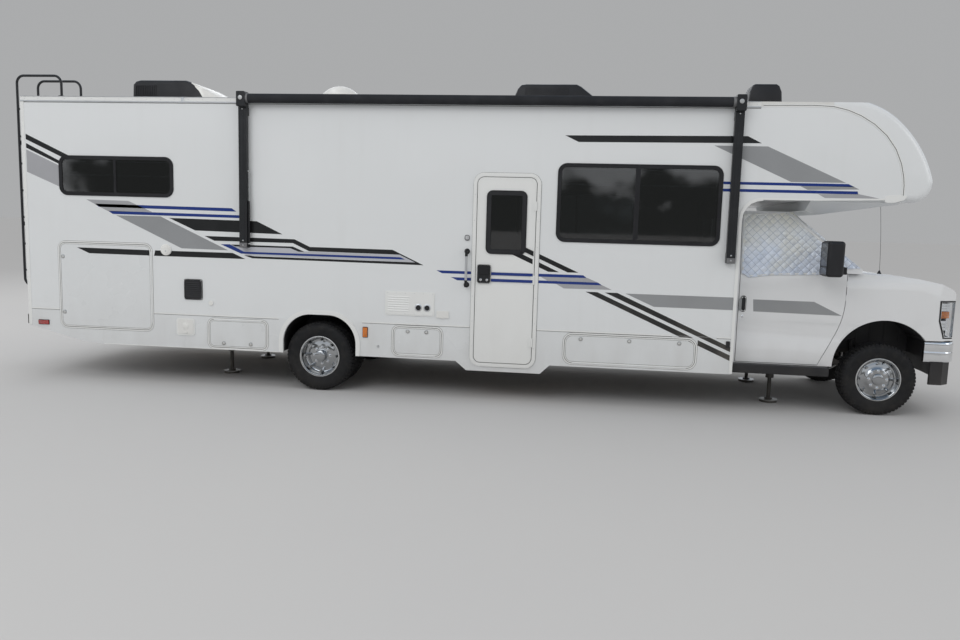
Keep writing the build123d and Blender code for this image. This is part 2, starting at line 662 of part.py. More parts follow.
def hood(shell):
    panel = shell & hood_zone(5)
    x = SCREEN_BASE[0] + 8
    for y in (-500, 500):
        panel += Pos(x - HOOD_PIN_R, y, HOOD_PIN_Z) * Rot(90, 0, 0) * Cylinder(HOOD_PIN_R, 70)
        panel += box(x - HOOD_PIN_R, x + 4, y - 35, y + 35, HOOD_PIN_Z - 4, HOOD_PIN_Z)
    return panel


def grille_zone(inset=0):
    return box(NOSE_X - 150, CLIP_TO, -GRILLE_HALF + inset, GRILLE_HALF - inset, 792 + inset, 1165 - inset)


def lamp_zone(inset=0):
    back, high, low = NOSE_X - 216 + inset, LAMP_Z1 - inset, LAMP_Z0 + inset
    face = outline((back, high), (CLIP_TO, high), (CLIP_TO, low), (back + 56, low), (back + 2, 975))
    return side_prism(face, -1100, -660 - inset)


def front_wings(shell):
    """Both wings joined by the panel below the hood."""
    wings = shell - hood_zone() - grille_zone() - lamp_zone() - mirrored(lamp_zone())
    wings -= front_arch_cut()
    wings -= box(BUMPER_X - 405, CLIP_TO, -1200, 1200, 0, BUMPER_TOP + 7)
    wings -= box(FIREWALL_X - 5, FIREWALL_X + CLIP_SKIN + 4, -940, 940, 400, 1500)
    return wings - box(FIREWALL_X, NOSE_X - 40, -960, 960, 400, 660)


def front_liner():
    """Moulded liner over a front wheel, against the inside of its wing."""
    ring = front_arch_cut(LINER) - front_arch_cut()
    ring &= box(FIREWALL_X, BUMPER_X - 410, LINER_INSIDE, 1200, CAB_SILL + 90, 1200)
    return ring & clip_form(CLIP_SKIN + SEAT_GAP)


def grille(shell):
    panel = shell & grille_zone(SEAT_GAP)
    slots = [box(NOSE_X - 200, CLIP_TO, y - 72, y + 72, z, z + 52) for y in range(-525, 526, 175)
             for z in range(820, 1055, 78)]
    return panel - slots


def headlamps(shell):
    return pair(shell & lamp_zone(SEAT_GAP))


def bumper_plan(inset=0, setback=0):
    face = make_face([
        Polyline((BUMPER_X - 88 - setback, -905), (BUMPER_X - 180 - setback, -BUMPER_HALF),
                 (BUMPER_X - 390, -BUMPER_HALF), (BUMPER_X - 390, BUMPER_HALF),
                 (BUMPER_X - 180 - setback, BUMPER_HALF), (BUMPER_X - 88 - setback, 905)),
        ThreePointArc((BUMPER_X - 88 - setback, 905), (BUMPER_X - setback, 0),
                      (BUMPER_X - 88 - setback, -905)),
    ])
    return offset(face, -inset) if inset else face


def front_bumper():
    bar = plan_prism(bumper_plan(), BUMPER_BOTTOM, BUMPER_TOP)
    bar -= plan_prism(bumper_plan(BUMPER_WALL), BUMPER_BOTTOM + BUMPER_WALL, BUMPER_TOP - BUMPER_WALL)
    bar -= box(BUMPER_X - 550, BUMPER_X - 150, -950, 950, 500, 800)
    return bar - box(BUMPER_X - 550, BUMPER_X - 250, -951, 951, 500, 800)


def bumper_valance():
    apron = plan_prism(bumper_plan(0, 26), 340, BUMPER_BOTTOM)
    apron -= plan_prism(bumper_plan(30, 26), 300, 600)
    return apron - box(BUMPER_X - 550, BUMPER_X - 320, -1000, 1000, 300, 600)


def running_board():
    board = box(COACH_FRONT + 25, DOOR_FRONT - 136, -CAB_HALF - 102, -CAB_HALF + 104, CAB_SILL - 90, CAB_SILL)
    return fillet(board.edges(), 12)


def dashboard():
    """Moulded dash with the steering wheel on its column."""
    back = FIREWALL_X - CAB_SKIN
    face = outline((back, 1060), (back, 1390), (back - 102, 1395), (back - 267, 1330), (back - 292, 1240),
                   (back - 212, 1080))
    dash = side_prism(face, -870, 870)
    column = Pos(back - 267, SEAT_Y, 1296) * Rot(0, 115, 0) * Cylinder(28, 260)
    wheel = Pos(back - 367, SEAT_Y, 1343) * Rot(0, 115, 0)
    rim = wheel * Torus(185, 15)
    spoke = wheel * Box(40, 372, 18)
    return dash + column + rim + spoke


def cab_seats():
    points = [(220, 1150), (145, 1720), (60, 1715), (60, 1640), (120, 1160), (120, 1000), (190, 1000),
              (190, CAB_FLOOR), (510, CAB_FLOOR), (510, 1000), (610, 1010), (630, 1080), (580, 1122),
              (230, 1110)]
    side = outline(*[(COACH_FRONT + x, z) for x, z in points])
    return pair(side_prism(side, SEAT_Y - 210, SEAT_Y + 290))


def engine_block():
    block = box(FIREWALL_X + 30, FIREWALL_X + 670, -300, 300, 600, 1140)
    foot = box(FIREWALL_X + 90, FIREWALL_X + 210, 290, FRAME_RAIL_Y - 8, FRAME_RAIL_Z + RAIL_WALL, 640)
    return block + foot + mirrored(foot)


# Chassis and running gear


def rail(side):
    """Channel rail, open towards the middle."""
    y0, y1 = FRAME_RAIL_Y - RAIL_WIDTH / 2, FRAME_RAIL_Y + RAIL_WIDTH / 2
    z0, z1 = FRAME_RAIL_Z, FRAME_RAIL_Z + FRAME_RAIL_H
    channel = box(COACH_REAR + WALL, RAIL_FRONT, y0, y1, z0, z1)
    channel -= box(COACH_REAR + WALL, RAIL_FRONT, y0 - 1, RAIL_INSIDE, z0 + RAIL_WALL, z1 - RAIL_WALL)
    return channel if side > 0 else mirrored(channel)


def cross_tubes():
    """Square tubes between the webs of the rails."""
    mid = FRAME_RAIL_Z + FRAME_RAIL_H / 2
    stations = (COACH_REAR + 90, -560, 620, 2150, COACH_FRONT - 630, WHEELBASE - 424, RAIL_FRONT - 40)
    return [box(x - 30, x + 30, -RAIL_INSIDE, RAIL_INSIDE, mid + 25, mid + 75) for x in stations]


def bumper_horns():
    """Bars that carry the front bumper from the ends of the rails."""
    return pair(box(RAIL_FRONT - 10, BUMPER_X - 70, FRAME_RAIL_Y - 30, RAIL_INSIDE,
                    BUMPER_BOTTOM + BUMPER_WALL, BUMPER_BOTTOM + BUMPER_WALL + 50))


REAR_BAR = (COACH_REAR - 117, COACH_REAR - 17, 560, 660)
HITCH_Z = 525
HITCH_BAR = 50.8
HITCH_HALF = 32
HITCH_PIN_X = COACH_REAR - 75
HITCH_PIN_R = 8


def rear_bar():
    """Rear bumper tube on two horns that reach into the rails."""
    x0, x1, z0, z1 = REAR_BAR
    bar = box(x0, x1, -COACH_HALF + 135, COACH_HALF - 135, z0, z1)
    horn = box(x1 - 3, COACH_REAR + 80, FRAME_RAIL_Y - 30, RAIL_INSIDE, z0 + 5, z1 - 5)
    return bar + horn + mirrored(horn)


def hitch_socket():
    """Square socket under the rear bumper, closed at its front end, with its cross bore."""
    x0, x1 = COACH_REAR - 110, COACH_REAR + 200
    half = HITCH_BAR / 2
    socket = box(x0, x1, -HITCH_HALF, HITCH_HALF, REAR_BAR[2] - 70, REAR_BAR[2])
    socket -= box(x0 - 1, x1 - 10, -half, half, HITCH_Z - half, HITCH_Z + half)
    return socket - Pos(HITCH_PIN_X, 0, HITCH_Z) * Rot(90, 0, 0) * Cylinder(HITCH_PIN_R, 80)


def hitch_plates():
    """Flat bars that hang the socket below the rails."""
    return pair(box(COACH_REAR + WALL, COACH_REAR + 120, HITCH_HALF, FRAME_RAIL_Y + RAIL_WIDTH / 2,
                    FRAME_RAIL_Z - 40, FRAME_RAIL_Z))


def leaf_spring():
    """Leaf pack as (x, z), eyes under the rail."""
    face = make_face([
        ThreePointArc((-680, 500), (0, 424), (680, 500)),
        Line((680, 500), (700, FRAME_RAIL_Z)),
        Polyline((700, FRAME_RAIL_Z), (640, FRAME_RAIL_Z), (600, 520)),
        ThreePointArc((600, 520), (0, 474), (-600, 520)),
        Polyline((-600, 520), (-640, FRAME_RAIL_Z), (-700, FRAME_RAIL_Z), (-680, 500)),
    ])
    return side_prism(face, 396, 464)


HUB_R = 55
SPINDLE_R = 32
FIT = 0.05
HAND_HOLES = 8
HAND_HOLE_AT = 148
HAND_HOLE_R = 15


def y_cylinder(x, z, radius, y0, y1):
    return Pos(x, (y0 + y1) / 2, z) * Rot(90, 0, 0) * Cylinder(radius, y1 - y0)


def rear_axle():
    """Live axle with its differential, leaf springs and propeller shaft."""
    axle = y_cylinder(0, TYRE_R, 62, -640, 640) + y_cylinder(0, TYRE_R, HUB_R, -REAR_TWIN_Y, REAR_TWIN_Y)
    axle += Pos(0, 0, TYRE_R) * Sphere(178)
    spring = leaf_spring()
    axle += spring + mirrored(spring)
    length = WHEELBASE - 704
    shaft = Pos(20 + length / 2, 0, TYRE_R + 60) * Rot(0, 90 - 1.2, 0) * Cylinder(42, length)
    return axle + shaft


def front_axle():
    """Crossed swing beams with their king pins."""
    axle = None
    for side, x in ((-1, WHEELBASE - 42), (1, WHEELBASE + 42)):
        beam = box(x - 32, x + 32, min(side * (KINGPIN_Y - 20), -side * 250),
                   max(side * (KINGPIN_Y - 20), -side * 250), TYRE_R - 40, TYRE_R + 25)
        boss = Pos(WHEELBASE, side * KINGPIN_Y, TYRE_R) * Cylinder(46, 100)
        pin = Pos(WHEELBASE, side * KINGPIN_Y, TYRE_R) * Cylinder(16, 190)
        tower = box(x - 30, x + 30, -side * 250 - 35, -side * 250 + 35, TYRE_R + 20, FRAME_RAIL_Z - 10)
        part = beam + boss + pin + tower
        axle = part if axle is None else axle + part
    cross = box(WHEELBASE - 90, WHEELBASE + 90, -FRAME_RAIL_Y - 36, FRAME_RAIL_Y + 36,
                FRAME_RAIL_Z - 34, FRAME_RAIL_Z)
    return axle + cross


def knuckle(side):
    """Steering knuckle: two lugs round the king pin, a web and the spindle."""
    y = KINGPIN_Y
    lug = Cylinder(38, 38)
    body = Pos(WHEELBASE, y, TYRE_R + 72) * lug + Pos(WHEELBASE, y, TYRE_R - 72) * lug
    body += box(WHEELBASE - 38, WHEELBASE + 38, y + 52, y + 76, TYRE_R - 91, TYRE_R + 91)
    for z in (TYRE_R - 91, TYRE_R + 53):
        body += box(WHEELBASE - 38, WHEELBASE + 38, y, y + 54, z, z + 38)
    body += y_cylinder(WHEELBASE, TYRE_R, SPINDLE_R, y + 76, FRONT_TRACK_Y + 20)
    body += box(WHEELBASE - 200, WHEELBASE - 30, y - 12, y + 14, TYRE_R - 91, TYRE_R - 66)
    body -= Pos(WHEELBASE, y, TYRE_R) * Cylinder(16 + FIT, 260)
    return body if side > 0 else mirrored(body)


def revolved(sketch, x, y):
    """Section drawn as (y, r) turned about the wheel's own axle."""
    return Pos(x, y, TYRE_R) * revolve(Plane.YZ * sketch, Axis.Y)


def tyre(x, y):
    """Tyre with flat tread, chamfered shoulders and bulging walls."""
    half = TYRE_W / 2
    profile = [(half - 31, RIM_R), (half, TYRE_R - 84), (half - 13, TYRE_R - 16), (half - 33, TYRE_R)]
    return revolved(outline(*profile, *[(-y, r) for y, r in reversed(profile)]), x, y)


def rim_barrel():
    """Rim section as (y, r) without its disc."""
    return outline((-97, 218), (-89, 218), (-89, RIM_R), (89, RIM_R), (89, 218), (97, 218), (97, 196),
                   (80, 186), (-80, 186), (-97, 196))


def hand_holes(x, y, depth):
    """Ring of round holes through a wheel disc."""
    ring = Pos(x, y, TYRE_R) * Rot(90, 0, 0) * PolarLocations(HAND_HOLE_AT, HAND_HOLES)
    return [spot * Cylinder(HAND_HOLE_R, depth) for spot in ring]


def front_rim(side):
    """Steel rim with its bright domed cover; dish faces outboard."""
    bore = SPINDLE_R + FIT
    disc = outline((-8, bore), (24, bore), (24, 0), (62, 0), (62, 56), (34, 72), (26, 130), (60, 172),
                   (60, 190), (40, 190), (0, 130), (-8, 70))
    wheel = revolved(rim_barrel() + disc, WHEELBASE, FRONT_TRACK_Y)
    wheel -= hand_holes(WHEELBASE, FRONT_TRACK_Y + 30, 120)
    return wheel if side > 0 else mirrored(wheel)


def rear_rims(side):
    """Both rims of a twin, joined at the hub, with the deep bright cover."""
    bore, shift = HUB_R + FIT, DUAL_SPACING / 2
    outer = Pos(shift, 0) * rim_barrel()
    inner = Pos(-shift, 0) * rim_barrel()
    disc = outline((-40, bore), (3, bore), (3, 0), (110, 0), (110, 60), (40, 86), (24, 130), (64, 172),
                   (80, 190), (60, 190), (-6, 140), (-50, 190), (-70, 190), (-40, 130))
    wheel = revolved(outer + inner + disc, 0, REAR_TWIN_Y)
    wheel -= hand_holes(0, REAR_TWIN_Y + 20, 120)
    return wheel if side > 0 else mirrored(wheel)


def levelling_jacks():
    jacks = []
    for x, y in ((-1286, 530), (WHEELBASE - 940, 560)):
        jack = Pos(x, y, 470) * Cylinder(42, 420) + Pos(x, y, 150) * Cylinder(20, 260)
        jack += Pos(x, y, 12) * Cylinder(88, 24) + Pos(x, y, 30) * Cylinder(40, 20)
        jack += box(x - 60, x + 60, FRAME_RAIL_Y + RAIL_WIDTH / 2, y, 590, 640)
        jacks += pair(jack)
    return jacks


def underfloor_tanks():
    fuel = fillet(box(-2350, -860, -380, 380, 470, FLOOR_UNDER).edges().filter_by(Axis.X), 60)
    waste = fillet(box(700, 2300, 482, 1140, 480, FLOOR_UNDER).edges().filter_by(Axis.X), 40)
    return [fuel, waste]


# Fittings on the coach


def roof_height(y):
    """Top of the crowned roof at one distance from the centre line."""
    radius = (COACH_HALF ** 2 + ROOF_CROWN ** 2) / (2 * ROOF_CROWN)
    return ROOF_TOP + ROOF_CROWN - radius + (radius ** 2 - y ** 2) ** 0.5


def tube(radius, points, bends):
    path = FilletPolyline(*points, radius=bends)
    return sweep((path ^ 0) * Circle(radius), path)


def ladder():
    """Rear ladder: two rails that hook over the roof, rungs and stand-offs."""
    x = COACH_REAR - LADDER_OFFSET
    parts = None
    hook, low, high = COACH_REAR + LADDER_REACH, SKIRT_TOP + 232, ROOF_EDGE + LADDER_RISE
    rails_y = (-COACH_HALF + LADDER_INSET, -COACH_HALF + LADDER_INSET + LADDER_WIDTH)
    for y in rails_y:
        seat = roof_height(abs(y) - 34)
        side = tube(LADDER_TUBE, [(COACH_REAR, y, low), (x, y, low), (x, y, high), (hook, y, high),
                                  (hook, y, seat)], 80)
        foot = Pos(hook, y, seat + 4) * Cylinder(34, 8)
        pad = Pos(COACH_REAR - 3, y, low) * Rot(0, 90, 0) * Cylinder(30, 6)
        side += foot + pad
        parts = side if parts is None else parts + side
    for step in range(7):
        z = 1150 + step * 290
        parts += Pos(x, sum(rails_y) / 2, z) * Rot(90, 0, 0) * Cylinder(LADDER_TUBE - 2, LADDER_WIDTH)
    for z in (1660, 2530):
        for y in rails_y:
            spacer = Rot(0, 90, 0) * Cylinder(LADDER_TUBE - 4, LADDER_OFFSET)
            parts += Pos(COACH_REAR - LADDER_OFFSET / 2, y, z) * spacer
    return parts


def awning():
    """Rolled awning in its rail, with its two folded arms."""
    y = -COACH_HALF - AWNING_OUT + AWNING_ROLL_R + 8
    x0, x1 = AWNING_REAR + 43, AWNING_FRONT - 46
    roll = Pos((x0 + x1) / 2, y, 2986) * Rot(0, 90, 0) * Cylinder(AWNING_ROLL_R, x1 - x0)
    pieces = roll + box(x0, x1, -COACH_HALF - 40, -COACH_HALF, 2972, 3000)
    for x in (AWNING_REAR, AWNING_FRONT):
        arm = box(x - 42, x + 42, -COACH_HALF - 72, -COACH_HALF - 26, 1482, 3010)
        head = box(x - 42, x + 44, -COACH_HALF - AWNING_OUT, -COACH_HALF - 20, 2905, 3048)
        foot = box(x - 40, x + 40, -COACH_HALF - 30, -COACH_HALF, 1482, 1580)
        brace = box(x - 42, x + 42, -COACH_HALF - 30, -COACH_HALF, 2820, 2900)
        pieces += arm + head + foot + brace
    return pieces


# name, side outline (x, z), half width, centre y
AIR_UNITS = [
    ("rear", [(-2560, 3000), (-2545, 3285), (-2450, 3335), (-1900, 3335), (-1690, 3175), (-1480, 3150),
              (-1462, 3000)], 360, 0),
    ("front", [(1862, 3000), (1890, 3180), (1965, 3312), (2577, 3316), (2742, 3190), (2772, 3000)], 360, 0),
    ("aerial", [(COACH_FRONT + x, z) for x, z in (
        (100, 3000), (120, 3200), (160, 3276), (390, 3276), (435, 3200), (450, 3000))], 150, -500),
]


def roof_units():
    """Air conditioners, aerial housing and dome, each cut to the crown of the roof."""
    roof = end_prism(crown_face(COACH_HALF, ROOF_TOP, TAIL_Z, COACH_HALF - 1), COACH_REAR, SEAM_TOP_X)
    units = []
    for _, points, half, y in AIR_UNITS:
        unit = side_prism(outline(*points), y - half, y + half)
        top = unit.edges().filter_by(lambda e: e.center().Z > 3140)
        units.append(fillet(top, 24) - roof)
    dome = Pos(-165, 0, 3062) * Sphere(275)
    units.append(dome - roof - box(-600, 300, -400, 400, 2600, 3030))
    return units


def arch_trim():
    """Raised moulding round a rear wheel arch."""
    ring = side_prism(arch_face(ARCH_RIM), -COACH_HALF - 9, -COACH_HALF)
    ring -= side_prism(arch_face(), OUTSIDE_Y, SKIN_Y)
    return ring - box(-600, 600, OUTSIDE_Y, SKIN_Y, 0, SKIRT_BOTTOM)


def wall_fittings():
    """Vent, ports, heater door and grab handle on the entry side."""
    y = -COACH_HALF
    rows = [(-1562, -1357, 527, 712, 30, 8), (-1465, -1270, 916, 1126, 28, 14), (713, 1225, 840, 1086, 14, 7),
            (1246, 1377, 826, 903, 8, 10), (1521, 1569, 1624, 1678, 20, 10)]
    pieces = [side_prism(window_face(x0, x1, z0, z1, r), y - proud, y) for x0, x1, z0, z1, r, proud in rows]
    pieces += [y_cylinder(-1663, 1431, 60, y - 12, y), y_cylinder(-1170, 884, 26, y - 10, y)]
    pieces += pair(arch_trim())
    grab = tube(12, [(1548, y, 1180), (1548, y - 60, 1180), (1548, y - 60, 1515), (1548, y, 1515)], 24)
    for z in (1180, 1515):
        grab += y_cylinder(1548, z, 28, y - 6, y)
    return pieces + [grab]


def lamps():
    """Tail lamps, side markers and roof clearance lamps."""
    pieces = []
    for side in (-1, 1):
        tail_y = side * (COACH_HALF - 135)
        pieces.append(box(COACH_REAR - 30, COACH_REAR, tail_y - 55, tail_y + 55, 690, 905))
        skin = sorted((side * COACH_HALF, side * (COACH_HALF + 14)))
        pieces.append(box(COACH_REAR + 115, COACH_REAR + 233, *skin, 580, 622))
        pieces.append(box(480, 527, *skin, 599, 698))
    for y in (-1050, -180, 0, 180, 1050):
        pieces.append(box(COACH_REAR - 22, COACH_REAR, y - 50, y + 50, 2880, 2915))
    return pieces


def build_cab():
    clip = clip_shell()
    write("cab_shell", cab_shell())
    write("front_wings", front_wings(clip))
    write("hood", hood(clip))
    write("grille", grille(clip))
    write("lamps", *headlamps(clip), *lamps())
    write("front_bumper", front_bumper())
    write("lower_trim", bumper_valance(), *pair(running_board()))
    write("dashboard", dashboard())
    write("cab_seats", *cab_seats())
    write("engine_block", engine_block())
    write("screen_cover", screen_cover())
    for name, side in (("right", -1), ("left", 1)):
        write(f"cab_door_{name}", cab_door(side))
        write(f"cab_glass_{name}", cab_glass(side))
        write(f"mirror_{name}", mirror_unit(side))
        write(f"cover_flap_{name}", cover_flap(side))


def build_chassis():
    write("chassis_frame", rail(-1), rail(1), *cross_tubes(), *bumper_horns())
    write("rear_bumper", rear_bar(), hitch_socket(), *hitch_plates())
    write("rear_axle", rear_axle())
    write("front_axle", front_axle())
    write("levelling_jacks", *levelling_jacks())
    write("underfloor_tanks", *underfloor_tanks())
    for name, side in (("right", -1), ("left", 1)):
        front = tyre(WHEELBASE, FRONT_TRACK_Y)
        twins = [tyre(0, REAR_TWIN_Y - DUAL_SPACING / 2), tyre(0, REAR_TWIN_Y + DUAL_SPACING / 2)]
        if side < 0:
            front, twins = mirrored(front), [mirrored(one) for one in twins]
        write(f"knuckle_{name}", knuckle(side))
        write(f"front_tyre_{name}", front)
        write(f"front_rim_{name}", front_rim(side))
        write(f"rear_tyres_{name}", *twins)
        write(f"rear_rims_{name}", rear_rims(side))


def build_fittings():
    write("ladder", ladder())
    write("awning", awning())
    write("roof_units", *roof_units())
    write("wall_fittings", *wall_fittings())


build_coach()
build_cab()
build_chassis()
build_fittings()
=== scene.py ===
"""Looks of a parked motorhome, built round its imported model. Metres; X is forward, Y to the left, Z up."""

import json
import math

import bmesh
import bpy
from mathutils import Matrix, Vector
from mathutils.bvhtree import BVHTree

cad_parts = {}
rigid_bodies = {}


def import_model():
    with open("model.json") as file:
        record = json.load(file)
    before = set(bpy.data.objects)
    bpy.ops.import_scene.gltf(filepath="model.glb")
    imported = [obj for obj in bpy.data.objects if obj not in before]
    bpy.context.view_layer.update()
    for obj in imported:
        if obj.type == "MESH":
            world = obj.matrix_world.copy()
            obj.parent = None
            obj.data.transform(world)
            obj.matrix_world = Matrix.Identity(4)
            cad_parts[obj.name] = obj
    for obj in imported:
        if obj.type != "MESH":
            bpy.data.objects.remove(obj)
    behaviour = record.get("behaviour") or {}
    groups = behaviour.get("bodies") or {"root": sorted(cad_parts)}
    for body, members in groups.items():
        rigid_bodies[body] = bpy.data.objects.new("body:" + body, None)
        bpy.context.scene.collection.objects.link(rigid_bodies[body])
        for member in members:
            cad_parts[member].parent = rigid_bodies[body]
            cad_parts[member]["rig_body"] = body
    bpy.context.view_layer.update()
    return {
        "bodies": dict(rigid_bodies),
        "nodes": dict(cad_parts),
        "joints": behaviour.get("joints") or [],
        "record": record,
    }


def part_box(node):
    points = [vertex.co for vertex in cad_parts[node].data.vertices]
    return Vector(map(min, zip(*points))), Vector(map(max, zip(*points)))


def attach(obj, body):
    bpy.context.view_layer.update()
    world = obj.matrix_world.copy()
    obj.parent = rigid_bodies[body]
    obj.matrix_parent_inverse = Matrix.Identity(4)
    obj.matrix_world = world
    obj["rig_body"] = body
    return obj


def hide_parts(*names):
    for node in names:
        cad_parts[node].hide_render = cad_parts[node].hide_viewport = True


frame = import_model()
NODES = frame["nodes"]
MM = 0.001
RIGHT = -1
LEFT = 1
SIDES = (("right", RIGHT), ("left", LEFT))


# Driving dimensions, read from the model

def middle(node):
    low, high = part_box(node)
    return (low + high) / 2


REAR_AXLE_X = middle("rear_tyres_right").x
FRONT_AXLE_X = middle("front_tyre_right").x
AXLE_Z = middle("front_tyre_right").z
WHEELBASE = (FRONT_AXLE_X - REAR_AXLE_X) / MM
COACH_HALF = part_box("side_wall_left")[1].y
# The walls' outer face, in millimetres from the middle plane
SEAT = round(COACH_HALF / MM)
# Thickness of a vinyl film
DECAL = 0.0006


def station(x):
    """Row place of a point x millimetres ahead of the rear axle."""
    return REAR_AXLE_X + x * MM


def spot(x, y, z):
    """Row place of a point in millimetres: ahead of the rear axle, left of the middle, above the road."""
    return Vector((station(x), y * MM, z * MM))


def hub(x, y):
    """Middle of a wheel, at a plan place in millimetres."""
    return Vector((station(x), y * MM, AXLE_Z))


def plate(points):
    """A side outline in millimetres, given as row places (x, z)."""
    return [(station(x), z * MM) for x, z in points]


def rect(x0, x1, z0, z1):
    """A rectangle's corners, from its lower left one round by its lower right one."""
    return ((x0, z0), (x1, z0), (x1, z1), (x0, z1))


def scaled(pairs, side=1):
    """A profile of (radius, depth) in millimetres, in metres, its depths turned to a side."""
    return [(radius * MM, side * depth * MM) for radius, depth in pairs]


# Camera, light and floor

CAMERA_AT = (station(2668), -9.0474, 1.7768)
# Degrees turned left, tipped down and rolled
CAMERA_YAW = 7.122
CAMERA_DOWN = 6.912
CAMERA_ROLL = 1.592
LENS_MM = 29.25
SENSOR_MM = 36
SEEN_TO = 600


def make_camera():
    data = bpy.data.cameras.new("camera")
    data.lens = LENS_MM
    data.sensor_width = SENSOR_MM
    data.clip_end = SEEN_TO
    camera = bpy.data.objects.new("camera", data)
    turn = Matrix.Rotation(math.radians(CAMERA_YAW), 4, "Z")
    tip = Matrix.Rotation(math.radians(90 - CAMERA_DOWN), 4, "X")
    roll = Matrix.Rotation(math.radians(CAMERA_ROLL), 4, "Z")
    camera.matrix_world = Matrix.Translation(CAMERA_AT) @ turn @ tip @ roll
    bpy.context.scene.collection.objects.link(camera)
    bpy.context.scene.camera = camera


# Lamps: name, place, what it points at, size, watts
LAMPS = (
    ("key_lamp", (-5, -13, 10), (0, 0, 1.2), (11, 6), 470),
    ("front_lamp", (15, -6, 7), (3, 0, 1.5), (7, 6), 190),
    ("back_lamp", (-4, 13, 9), (0, 0, 1.5), (12, 6), 360),
    ("rear_lamp", (-15, -1, 7), (-4, 0, 1.5), (6, 6), 190),
)


def make_lights():
    for name, place, target, size, watts in LAMPS:
        data = bpy.data.lights.new(name, "AREA")
        data.shape = "RECTANGLE"
        data.size, data.size_y = size
        data.energy = watts
        lamp = bpy.data.objects.new(name, data)
        lamp.location = place
        aim = Vector(target) - Vector(place)
        lamp.rotation_euler = aim.to_track_quat("-Z", "Y").to_euler()
        bpy.context.scene.collection.objects.link(lamp)


WORLD_DIFFUSE = 0.68
BACKDROP = (0.405, 0.41, 0.415, 1)
WORLD_HORIZON = (0.92, 0.94, 0.96, 1)
WORLD_ZENITH = (0.26, 0.36, 0.50, 1)
WORLD_BAND = (0.05, 0.055, 0.05, 1)
# Heights on the dome: where its colours change over, where the dark band near the horizon fades, by how much
# that edge wavers
DOME_RISE = (0.02, 0.75)
BAND_FADE = (0.075, 0.055)
BAND_RAGGED = 0.07
BAND_SHARE = 0.9


def make_world():
    world = bpy.data.worlds.new("studio")
    bpy.context.scene.world = world
    world.use_nodes = True
    wire = Wiring(world.node_tree)
    tree = world.node_tree
    background = tree.nodes["Background"]
    path = wire.node("LightPath")
    seen = wire.math("MAXIMUM", path.outputs["Is Camera Ray"], path.outputs["Is Glossy Ray"])
    seen = wire.math("MAXIMUM", seen, path.outputs["Is Transmission Ray"])
    way = wire.node("TexCoord").outputs["Generated"]
    height = wire.parts(way)["Z"]
    dome = wire.mix(wire.span(height, *DOME_RISE), WORLD_HORIZON, WORLD_ZENITH)
    waver = wire.span(wire.noise(way, 8.0, 7.0), 0.3, 0.7, -BAND_RAGGED, BAND_RAGGED)
    band = wire.span(wire.math("ADD", height, waver), *BAND_FADE)
    reflected = wire.math("MULTIPLY", band, path.outputs["Is Glossy Ray"])
    dome = wire.mix(wire.math("MULTIPLY", reflected, BAND_SHARE), dome, WORLD_BAND)
    dome = wire.mix(path.outputs["Is Camera Ray"], dome, BACKDROP)
    wire.feed(background.inputs["Color"], wire.mix(seen, (1, 1, 1, 1), dome))
    wire.feed(background.inputs["Strength"], wire.span(seen, 0, 1, WORLD_DIFFUSE, 1.0))


FLOOR_HALF = 250
FLOOR_DEPTH = 0.05


def make_floor():
    solid = Solid()
    solid.block((-FLOOR_HALF, -FLOOR_HALF, -FLOOR_DEPTH), (FLOOR_HALF, FLOOR_HALF, 0), FINISH["floor"])
    solid.build("floor")


# Shader wiring

class Wiring:
    """Adds nodes to one shader tree and joins them."""

    def __init__(self, tree):
        self.tree = tree

    def feed(self, socket, value):
        if isinstance(value, bpy.types.NodeSocket):
            self.tree.links.new(value, socket)
        else:
            socket.default_value = value

    def node(self, kind, settings=(), **sockets):
        made = self.tree.nodes.new("ShaderNode" + kind)
        for key, value in dict(settings).items():
            setattr(made, key, value)
        for label, value in sockets.items():
            self.feed(made.inputs[label.replace("_", " ")], value)
        return made

    def math(self, operation, first, second=0.0, clamp=False):
        made = self.node("Math", {"operation": operation, "use_clamp": clamp})
        self.feed(made.inputs[0], first)
        self.feed(made.inputs[1], second)
        return made.outputs[0]

    def span(self, value, low, high, to_low=0.0, to_high=1.0):
        """The value carried from one range to another, and held at its ends."""
        made = self.node("MapRange")
        for label, number in (("From Min", low), ("From Max", high), ("To Min", to_low), ("To Max", to_high)):
            self.feed(made.inputs[label], number)
        self.feed(made.inputs["Value"], value)
        return made.outputs[0]

    def mix(self, factor, first, second):
        made = self.node("Mix", {"data_type": "RGBA"})
        self.feed(made.inputs[0], factor)
        self.feed(made.inputs[6], first)
        self.feed(made.inputs[7], second)
        return made.outputs[2]

    def parts(self, vector):
        return self.node("SeparateXYZ", Vector=vector).outputs

    def place(self):
        return self.node("TexCoord").outputs["Object"]

    def stretched(self, scale):
        return self.node("Mapping", Vector=self.place(), Scale=scale).outputs[0]

    def noise(self, vector, scale, detail=3.0):
        made = self.node("TexNoise", Vector=vector, Scale=scale, Detail=detail)
        return made.outputs[0]

    def bump(self, height, depth, normal=None):
        made = self.node("Bump", Height=height, Distance=depth, Strength=1.0)
        if normal is not None:
            self.feed(made.inputs["Normal"], normal)
        return made.outputs[0]

    def group(self, tree, **sockets):
        made = self.tree.nodes.new("ShaderNodeGroup")
        made.node_tree = tree
        for label, value in sockets.items():
            self.feed(made.inputs[label.replace("_", " ")], value)
        return made.outputs[0]


def effect(name, inputs, output):
    """An empty node group with float inputs and one output, and the wiring to fill it."""
    tree = bpy.data.node_groups.new(name, "ShaderNodeTree")
    for label, value in inputs:
        socket = tree.interface.new_socket(label, in_out="INPUT", socket_type="NodeSocketFloat")
        socket.default_value = value
    kind = "NodeSocketVector" if output == "Normal" else "NodeSocketFloat"
    tree.interface.new_socket(output, in_out="OUTPUT", socket_type=kind)
    start = tree.nodes.new("NodeGroupInput")
    end = tree.nodes.new("NodeGroupOutput")
    return tree, Wiring(tree), start.outputs, end.inputs[0]


